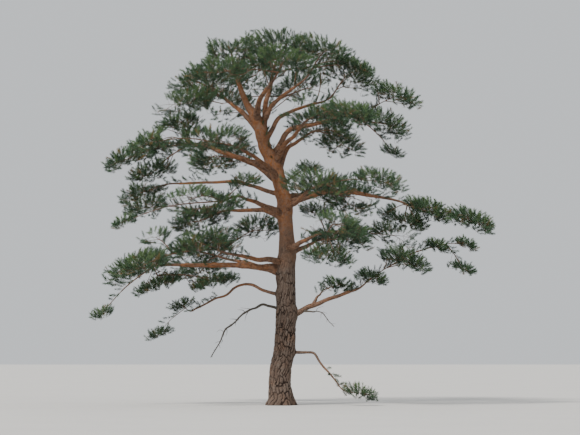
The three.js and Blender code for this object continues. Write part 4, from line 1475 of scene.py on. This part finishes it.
def dead_material(settings):
    """Weathered grey wood with grain and cracks along it."""
    material, shader, make = new_material("pine_dead_wood", DEAD_ROUGHNESS)
    place = make("ShaderNodeTexCoord").outputs["Object"]
    skin = make("ShaderNodeAttribute", attribute_name="skin").outputs["Vector"]
    grain = noise(make, skin, DEAD_GRAIN)
    warm = spread(make, noise(make, place, DEAD_STAINS), WARM_BY_STAIN)
    colour = mixed(
        make, warm, tinted(settings.dead_colour), tinted(settings.dead_colour, WARM_TINT))
    colour = mixed(make, spread(make, grain, DARK_BY_DEAD_GRAIN), colour,
                   tinted(settings.dead_colour, DEAD_DARK_SHARE))
    fill(shader, {"Base Color": colour, "Normal": bump(make, grain, DEAD_BUMP_STRENGTH)})
    return material


def mottled_material(name, colour, mottle):
    """A matt material of one colour that darkens and lightens from place to place."""
    material, shader, make = new_material(name, mottle.roughness)
    place = make("ShaderNodeTexCoord").outputs["Object"]
    patches = noise(make, place, Noise(mottle.patches))
    grains = noise(make, place, Noise(mottle.grains, MOTTLE_GRAIN_DETAIL))
    both = mixed(make, MOTTLE_GRAIN_SHARE, patches, grains)
    value = make("ShaderNodeSeparateColor", {"Color": both}).outputs[0]
    fill(shader, {"Base Color": mixed(
        make, spread(make, value, LIGHT_BY_MOTTLE),
        tinted(colour, 1 - mottle.change), tinted(colour, 1 + mottle.change))})
    return material


def shared_material(name):
    """The material of that name, made when a piece first asks for it."""
    if name in bpy.data.materials:
        return bpy.data.materials[name]
    scene = bpy.context.scene
    bark = scene.pine_bark
    if name == "pine_bark":
        return bark_material(bark)
    if name == "pine_dead_wood":
        return dead_material(bark)
    if name == "pine_twigs":
        return mottled_material(name, bark.twig_colour, TWIG_MOTTLE)
    if name == "pale_floor":
        return mottled_material(name, scene.pine_stage.floor_colour, FLOOR_MOTTLE)
    shade = name.removeprefix("needles_")
    return mottled_material(name, getattr(scene.pine_foliage, shade + "_colour"), NEEDLE_MOTTLE)


# Pieces: each is a joined mesh that stands for some of the solids.

# Tubes: how far apart their rings are, and how many sides they have.
BOUGH_TUBE = (0.024, 20)
STEM_TUBE = (0.035, 8)
DEAD_TUBE = (0.014, 18)
DEAD_TWIG_TUBE = (0.02, 6)

# The trunk swells where a bough leaves it. The place is looked for on the first part of the
# bough, and the swelling has its size from the bough's radius a little way along.
EXIT_WITHIN = 0.4
EXIT_PLACES = 60
EXIT_RADIUS_AT = 0.2
EXIT_SIZE = 1.5
EXIT_LEAST_SIZE = 0.03
EXIT_HEIGHT = 0.5
EXIT_WIDTH = 1.25
EXIT_MOST = 0.05

# The trunk's bark is old up to a height, and young from just below its change of colour. It
# is shallower where the trunk is thinner than at the height of a full trunk.
OLD_BARK_TO = 1.2
YOUNG_BARK_BELOW = 0.6
YOUNG_BARK_DEPTH = 0.0025
FULL_TRUNK_HEIGHT = 1.0
THIN_TRUNK_LEAST = 0.25
OLD_BARK_FLAKES = 0.35
YOUNG_BARK_DARK = 0.45

# A bough's bark, which is shallower on a thin bough and turns orange lower down than the
# trunk's, though less so near the trunk, its knots, and its sway: how wide and how long.
BOUGH_PLATES = 6
BOUGH_FURROW = 0.007
THICK_BOUGH = 0.09
THIN_BOUGH_LEAST = 0.2
BOUGH_KNOTS = Waves(3, 0.19, 9)
BOUGH_KNOT_SIZE = 0.09
BOUGH_SWAY = (0.017, 0.3)
ORANGE_LOWER = (1.9, 1.8)
ORANGE_LEAST = 0.35
NEAR_TRUNK = (0.2, 1.6)
NEAR_TRUNK_ORANGE = 0.55

# Stems within the masses, which start a little back inside the limb that they grow from.
STEM_PLACES = 7
STEM_OVERLAP = 0.06
STEM_RIDGES = 3
STEM_RIDGE_DEPTH = 0.05
STEM_PLATES = 4
STEM_FURROW = 0.002
STEM_FLAKES = 0.0015
STEM_ORANGE = 0.4

# Dead limbs: cracks and knots as shares of the radius, the sway, and how much the grain is
# drawn out along the wood.
CRACKS = Waves(12, 0.35, 0)
CRACK_DEPTH = 0.16
DEAD_KNOTS = Waves(4, 0.11, 1)
DEAD_KNOT_SIZE = 0.2
DEAD_SWAY = (0.016, 0.16)
GRAIN_ALONG = 0.35

# The draws of random numbers: so many for the boughs of a level, and one for the dead twigs.
BOUGH_DRAWS = 40
DEAD_DRAW = 7

# Broken twigs on a dead limb: their number, the part of it that they stand on, how far they
# lean along it, their length, which falls towards its end, their bend and their radius.
DEAD_TWIGS_LEAST = 4
DEAD_TWIGS_PER_METRE = 7
DEAD_TWIGS_WITHIN = (0.3, 0.98)
DEAD_TWIG_LEAN = (0.2, 0.9)
DEAD_TWIG_LENGTH = (0.12, 0.42)
DEAD_TWIG_LENGTH_END = 1.2
DEAD_TWIG_UNEVEN = 0.12
DEAD_TWIG_CURVE = 0.3
DEAD_TWIG_FOOT_SHARE = 0.45
DEAD_TWIG_MOST_RADIUS = 0.011
DEAD_TWIG_TIP_RADIUS = 0.0022


def limb_tube(limb, shape):
    return tube(limb.line, lambda shares, angles: limb.radius_at(shares), *shape)


def exit_swelling(points, limbs):
    """How far the trunk swells at each point where boughs leave it."""
    swell = np.zeros(len(points))
    names = [row["name"] for level in BOUGHS.values() for row in level
             if "at" in row and "on" not in row]
    for limb in (limbs[name] for name in names):
        places = limb.line.at(np.linspace(0, EXIT_WITHIN, EXIT_PLACES))
        away = np.linalg.norm(places - places[0], axis=1)
        leave = places[np.argmax(away > trunk_radius(places[0, 2]))]
        size = EXIT_SIZE * float(limb.radius_at(EXIT_RADIUS_AT)) + EXIT_LEAST_SIZE
        gap = np.linalg.norm(points - leave, axis=1)
        swell = np.maximum(swell, EXIT_HEIGHT * size * np.exp(-(gap / (EXIT_WIDTH * size)) ** 2))
    return np.minimum(swell, EXIT_MOST)


def trunk_arrays(settings, limbs):
    """The trunk's points and triangles with flare and bark, and the layers of its bark."""
    trunk = limbs["trunk"]

    def radius_at(shares, angles):
        height = trunk.line.at(shares.ravel())[:, 2][:, None]
        flare = np.maximum(0.0, 1 - height / FLARE_HEIGHT) ** 2
        lobes = 1 + FLARE_DEPTH * flare * np.cos(FLARE_LOBES * angles + FLARE_TURN)
        twisted = TRUNK_RIDGES * angles + height / TRUNK_TWIST_HEIGHT
        return trunk_radius(height) * lobes * (1 + TRUNK_RIDGE_DEPTH * np.sin(twisted))

    points, triangles, outward, around, along = tube(
        trunk.line, radius_at, settings.ring_spacing, settings.sides)
    height = points[:, 2]
    old = 1 - smoothstep(OLD_BARK_TO, settings.change_to - YOUNG_BARK_BELOW, height)
    depth = settings.furrow_depth * old + YOUNG_BARK_DEPTH
    thin = np.clip(
        trunk_radius(height) / trunk_radius(FULL_TRUNK_HEIGHT), THIN_TRUNK_LEAST, 1)
    relief, dark, tone = bark_relief(
        around, along, settings.plates_around, depth * np.sqrt(thin),
        settings.flake_depth * lerp(OLD_BARK_FLAKES, 1, 1 - old), settings, SEED)
    relief += exit_swelling(points, limbs)
    points = points + outward * relief[:, None]
    points[:settings.sides, 2] = 0.0
    points[:, 2] = np.maximum(points[:, 2], 0.0)
    upper = smoothstep(settings.change_from, settings.change_to, height)
    return points, triangles, dark * lerp(YOUNG_BARK_DARK, 1, old), tone, upper


def bough_arrays(limb, settings, seed):
    """A bough's points and triangles with bark and knots, and the layers of its bark."""
    points, triangles, outward, around, along = limb_tube(limb, BOUGH_TUBE)
    radius = limb.radius_at(along / limb.line.length)
    share = np.clip(radius / THICK_BOUGH, THIN_BOUGH_LEAST, 1)
    relief, dark, tone = bark_relief(
        around, along, BOUGH_PLATES, BOUGH_FURROW * share, settings.flake_depth * share,
        settings, seed)
    relief += BOUGH_KNOT_SIZE * radius * ripple(around, along, BOUGH_KNOTS, seed)
    points = points + outward * relief[:, None] + sway(limb.line, along, *BOUGH_SWAY, seed)
    start, full = settings.change_from - ORANGE_LOWER[0], settings.change_to - ORANGE_LOWER[1]
    upper = np.maximum(smoothstep(start, full, points[:, 2]), ORANGE_LEAST)
    upper = upper * lerp(NEAR_TRUNK_ORANGE, 1, smoothstep(*NEAR_TRUNK, along))
    return points, triangles, dark, tone, upper


def stem_arrays(line, low, high, back, settings, seed):
    """A stem within a mass, in the first of the mass's two materials."""
    places = line.at(np.linspace(0, 1, STEM_PLACES))
    places[0] -= line.direction(0.0) * back

    def radius_at(shares, angles):
        return lerp(low, high, shares) * (1 + STEM_RIDGE_DEPTH * np.sin(STEM_RIDGES * angles))

    points, triangles, outward, around, along = tube(Line(places), radius_at, *STEM_TUBE)
    relief, dark, tone = bark_relief(
        around, along, STEM_PLATES, STEM_FURROW, STEM_FLAKES, settings, seed)
    points = points + outward * relief[:, None]
    upper = np.full(len(points), STEM_ORANGE)
    return points, triangles, dark, tone, upper, np.zeros(len(triangles))


def twig_arrays(growth, thick):
    """Twigs with the same arrays as stems, so that they join, in the second material."""
    points, triangles = twig_tubes(growth, thick)
    none = np.zeros(len(points))
    return points, triangles, none, none, none, np.ones(len(triangles))


def skin(around, along):
    """Where each point lies on the wood's skin, drawn out along it, for its grain."""
    return np.column_stack([np.cos(around), np.sin(around), along * GRAIN_ALONG])


def dead_arrays(limb, seed):
    """A dead limb's points and triangles with cracks and knots, and its skin."""
    points, triangles, outward, around, along = limb_tube(limb, DEAD_TUBE)
    relief = CRACK_DEPTH * ripple(around, along, CRACKS, seed) \
        + DEAD_KNOT_SIZE * ripple(around, along, DEAD_KNOTS, seed)
    radius = limb.radius_at(along / limb.line.length)
    points = points + outward * (radius * relief)[:, None] \
        + sway(limb.line, along, *DEAD_SWAY, seed)
    return points, triangles, skin(around, along)


def dead_twigs(limb, rng):
    """Broken twigs that stand on a dead limb."""
    parts = []
    count = max(DEAD_TWIGS_LEAST, int(limb.line.length * DEAD_TWIGS_PER_METRE))
    for number in range(count):
        share = lerp(*DEAD_TWIGS_WITHIN, (number + rng.random()) / count)
        foot = limb.line.at(share)
        axis = limb.line.direction(share)
        side, over = cross_axes(axis)
        angle = number * GOLDEN_ANGLE
        lean = axis * rng.uniform(*DEAD_TWIG_LEAN)
        out = unit(side * math.cos(angle) + over * math.sin(angle) + lean)
        length = rng.uniform(*DEAD_TWIG_LENGTH) * (DEAD_TWIG_LENGTH_END - share)
        bend = foot + out * length * 0.5 + rng.normal(0, DEAD_TWIG_UNEVEN, 3) * length
        tip = foot + out * length + axis * length * DEAD_TWIG_CURVE
        radius = min(DEAD_TWIG_FOOT_SHARE * float(limb.radius_at(share)), DEAD_TWIG_MOST_RADIUS)
        points, triangles, _, around, along = tube(
            Line([foot, bend, tip]),
            lambda shares, angles: lerp(radius, DEAD_TWIG_TIP_RADIUS, shares), *DEAD_TWIG_TUBE)
        parts.append((points, triangles, skin(around, along)))
    return parts


def needle_batches(scene):
    """The needles of the masses in turn, in batches that stay under MOST_TRIANGLES, each with
    the solids that it stands for."""
    parts, nodes, total = [], [], 0
    for place, growth in enumerate(foliage_of(scene)):
        rng = np.random.default_rng([SEED, NEEDLE_DRAW, place])
        made = needle_mesh(growth, scene.pine_foliage, rng)
        count = len(made[1])
        if parts and total + count > MOST_TRIANGLES:
            yield parts, nodes
            parts, nodes, total = [], [], 0
        parts.append(made)
        nodes.append("foliage_" + growth.name)
        total += count
    yield parts, nodes


class PINE_OT_trunk(bpy.types.Operator):
    """Build the trunk with its flare and plated bark"""
    bl_idname = "pine.trunk"
    bl_label = "Trunk"

    def execute(self, context):
        limbs, _ = grow_limbs()
        trunk = trunk_arrays(context.scene.pine_bark, limbs)
        bark_piece("trunk_bark", [trunk], ["pine_bark"], ["trunk"])
        return {"FINISHED"}


class PINE_OT_boughs(bpy.types.Operator):
    """Build the boughs of each level of the crown"""
    bl_idname = "pine.boughs"
    bl_label = "Boughs"

    def execute(self, context):
        settings = context.scene.pine_bark
        limbs, _ = grow_limbs()
        for number, (level, rows) in enumerate(BOUGHS.items()):
            names = [row["name"] for row in rows if row["name"] in limbs]
            first_draw = SEED + BOUGH_DRAWS * number + 1
            parts = [bough_arrays(limbs[name], settings, draw)
                     for draw, name in enumerate(names, first_draw)]
            bark_piece(
                "boughs_" + level, parts, ["pine_bark"], ["bough_" + name for name in names])
        return {"FINISHED"}


class PINE_OT_dead_limbs(bpy.types.Operator):
    """Build the bare, bleached lower limbs with their broken twigs"""
    bl_idname = "pine.dead_limbs"
    bl_label = "Dead limbs"

    def execute(self, context):
        limbs, _ = grow_limbs()
        rng = np.random.default_rng(SEED + DEAD_DRAW)
        names = [row["name"] for row in DEAD_LIMBS]
        parts = []
        for draw, name in enumerate(names, SEED):
            parts += [dead_arrays(limbs[name], draw), *dead_twigs(limbs[name], rng)]
        points, triangles, grain = join_arrays(parts)
        piece = mesh_piece(
            "dead_limbs", points, triangles, ["pine_dead_wood"], layers={"skin": grain})
        hand_over(piece, names)
        return {"FINISHED"}


class PINE_OT_twigs(bpy.types.Operator):
    """Grow the stems and twigs that carry the shoots"""
    bl_idname = "pine.twigs"
    bl_label = "Twigs"

    def execute(self, context):
        settings = context.scene.pine_bark
        growths = foliage_of(context.scene)
        for level in BOUGHS:
            ours = [growth for growth in growths if growth.level == level]
            parts = []
            for growth in ours:
                for number, (line, low, high) in enumerate(growth.stems):
                    back = STEM_OVERLAP if number == 0 else 0.0
                    parts.append(stem_arrays(line, low, high, back, settings, SEED + number))
                parts += [twig_arrays(growth, True), twig_arrays(growth, False)]
            bark_piece("twigs_" + level, parts, ["pine_bark", "pine_twigs"],
                       ["foliage_" + growth.name for growth in ours])
        return {"FINISHED"}


class PINE_OT_needles(bpy.types.Operator):
    """Set the needles on every shoot, in four shades"""
    bl_idname = "pine.needles"
    bl_label = "Needles"

    def execute(self, context):
        materials = ["needles_" + shade for shade in SHADES]
        for number, (parts, nodes) in enumerate(needle_batches(context.scene), 1):
            points, triangles, shades = join_arrays(parts)
            piece = mesh_piece(
                f"needles_{number}", points, triangles, materials, shades, smooth=False)
            hand_over(piece, nodes)
        return {"FINISHED"}


# The stage: light from the whole sky, a soft sun from the front left (its spread in degrees),
# a floor and a camera: the height of its picture as a share of the width, and how many times
# as far as the tree it sees.
SKY_STRENGTH = 0.9
SUN_STRENGTH = 4.0
SUN_SPREAD = 12
SUN_COLOUR = (1.0, 0.96, 0.9)
SUN_FROM = (-0.55, -0.75, 0.9)
FLOOR_HALF = 160
FRAME_SHAPE = 0.75
CAMERA_END = 4


class PINE_OT_stage(bpy.types.Operator):
    """Set the floor, the light all round, the sun and the camera"""
    bl_idname = "pine.stage"
    bl_label = "Stage"

    def execute(self, context):
        settings = context.scene.pine_stage
        scene = context.scene

        world = bpy.data.worlds.new("surroundings")
        scene.world = world
        world.use_nodes = True
        fill(world.node_tree.nodes["Background"],
             {"Color": tinted(settings.sky_colour), "Strength": SKY_STRENGTH})

        corners = np.array([(-1, -1, 0), (1, -1, 0), (1, 1, 0), (-1, 1, 0)]) * FLOOR_HALF
        floor = mesh_piece(
            "floor", corners, np.array([(0, 1, 2), (0, 2, 3)]), ["pale_floor"], smooth=False)
        floor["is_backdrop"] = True

        light = bpy.data.lights.new("sun", "SUN")
        light.energy = SUN_STRENGTH
        light.angle = math.radians(SUN_SPREAD)
        light.color = SUN_COLOUR
        sun = bpy.data.objects.new("sun", light)
        sun.rotation_euler = Vector(SUN_FROM).to_track_quat("Z", "Y").to_euler()
        scene.collection.objects.link(sun)

        lens = bpy.data.cameras.new("camera")
        lens.sensor_fit = "HORIZONTAL"
        lens.lens = lens.sensor_width * FRAME_SHAPE * settings.distance / settings.frame_height
        lens.clip_end = CAMERA_END * settings.distance
        camera = bpy.data.objects.new("camera", lens)
        place = Vector((AIM[0], -settings.distance, settings.eye_height))
        camera.location = place
        camera.rotation_euler = (Vector(AIM) - place).to_track_quat("-Z", "Y").to_euler()
        scene.collection.objects.link(camera)
        scene.camera = camera
        return {"FINISHED"}


class PINE_PT_panel(bpy.types.Panel):
    """The steps in order, with the sizes and colours that they use"""
    bl_idname = "PINE_PT_panel"
    bl_label = "Open-Grown Pine"
    bl_space_type = "VIEW_3D"
    bl_region_type = "UI"
    bl_category = "Pine"

    def draw(self, context):
        for operator in STEPS:
            self.layout.operator(operator.bl_idname)
        for group in SETTINGS:
            settings = getattr(context.scene, group)
            box = self.layout.box()
            for name in type(settings).__annotations__:
                box.prop(settings, name)


STEPS = (
    PINE_OT_trunk, PINE_OT_boughs, PINE_OT_dead_limbs, PINE_OT_twigs, PINE_OT_needles,
    PINE_OT_stage,
)
SETTINGS = {
    "pine_bark": PineBarkSettings,
    "pine_foliage": PineFoliageSettings,
    "pine_stage": PineStageSettings,
}
CLASSES = (*SETTINGS.values(), *STEPS, PINE_PT_panel)


def register():
    for cls in CLASSES:
        bpy.utils.register_class(cls)
    for name, cls in SETTINGS.items():
        setattr(bpy.types.Scene, name, bpy.props.PointerProperty(type=cls))


def unregister():
    for name in SETTINGS:
        delattr(bpy.types.Scene, name)
    for cls in reversed(CLASSES):
        bpy.utils.unregister_class(cls)


def main():
    register()
    for operator in STEPS:
        group, name = operator.bl_idname.split(".")
        getattr(getattr(bpy.ops, group), name)()
    boxes = {"cad": CAD_BOX, "visual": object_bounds()}
    {name: [list(corner) for corner in box] for name, box in boxes.items()}


if __name__ == "__main__":
    main()
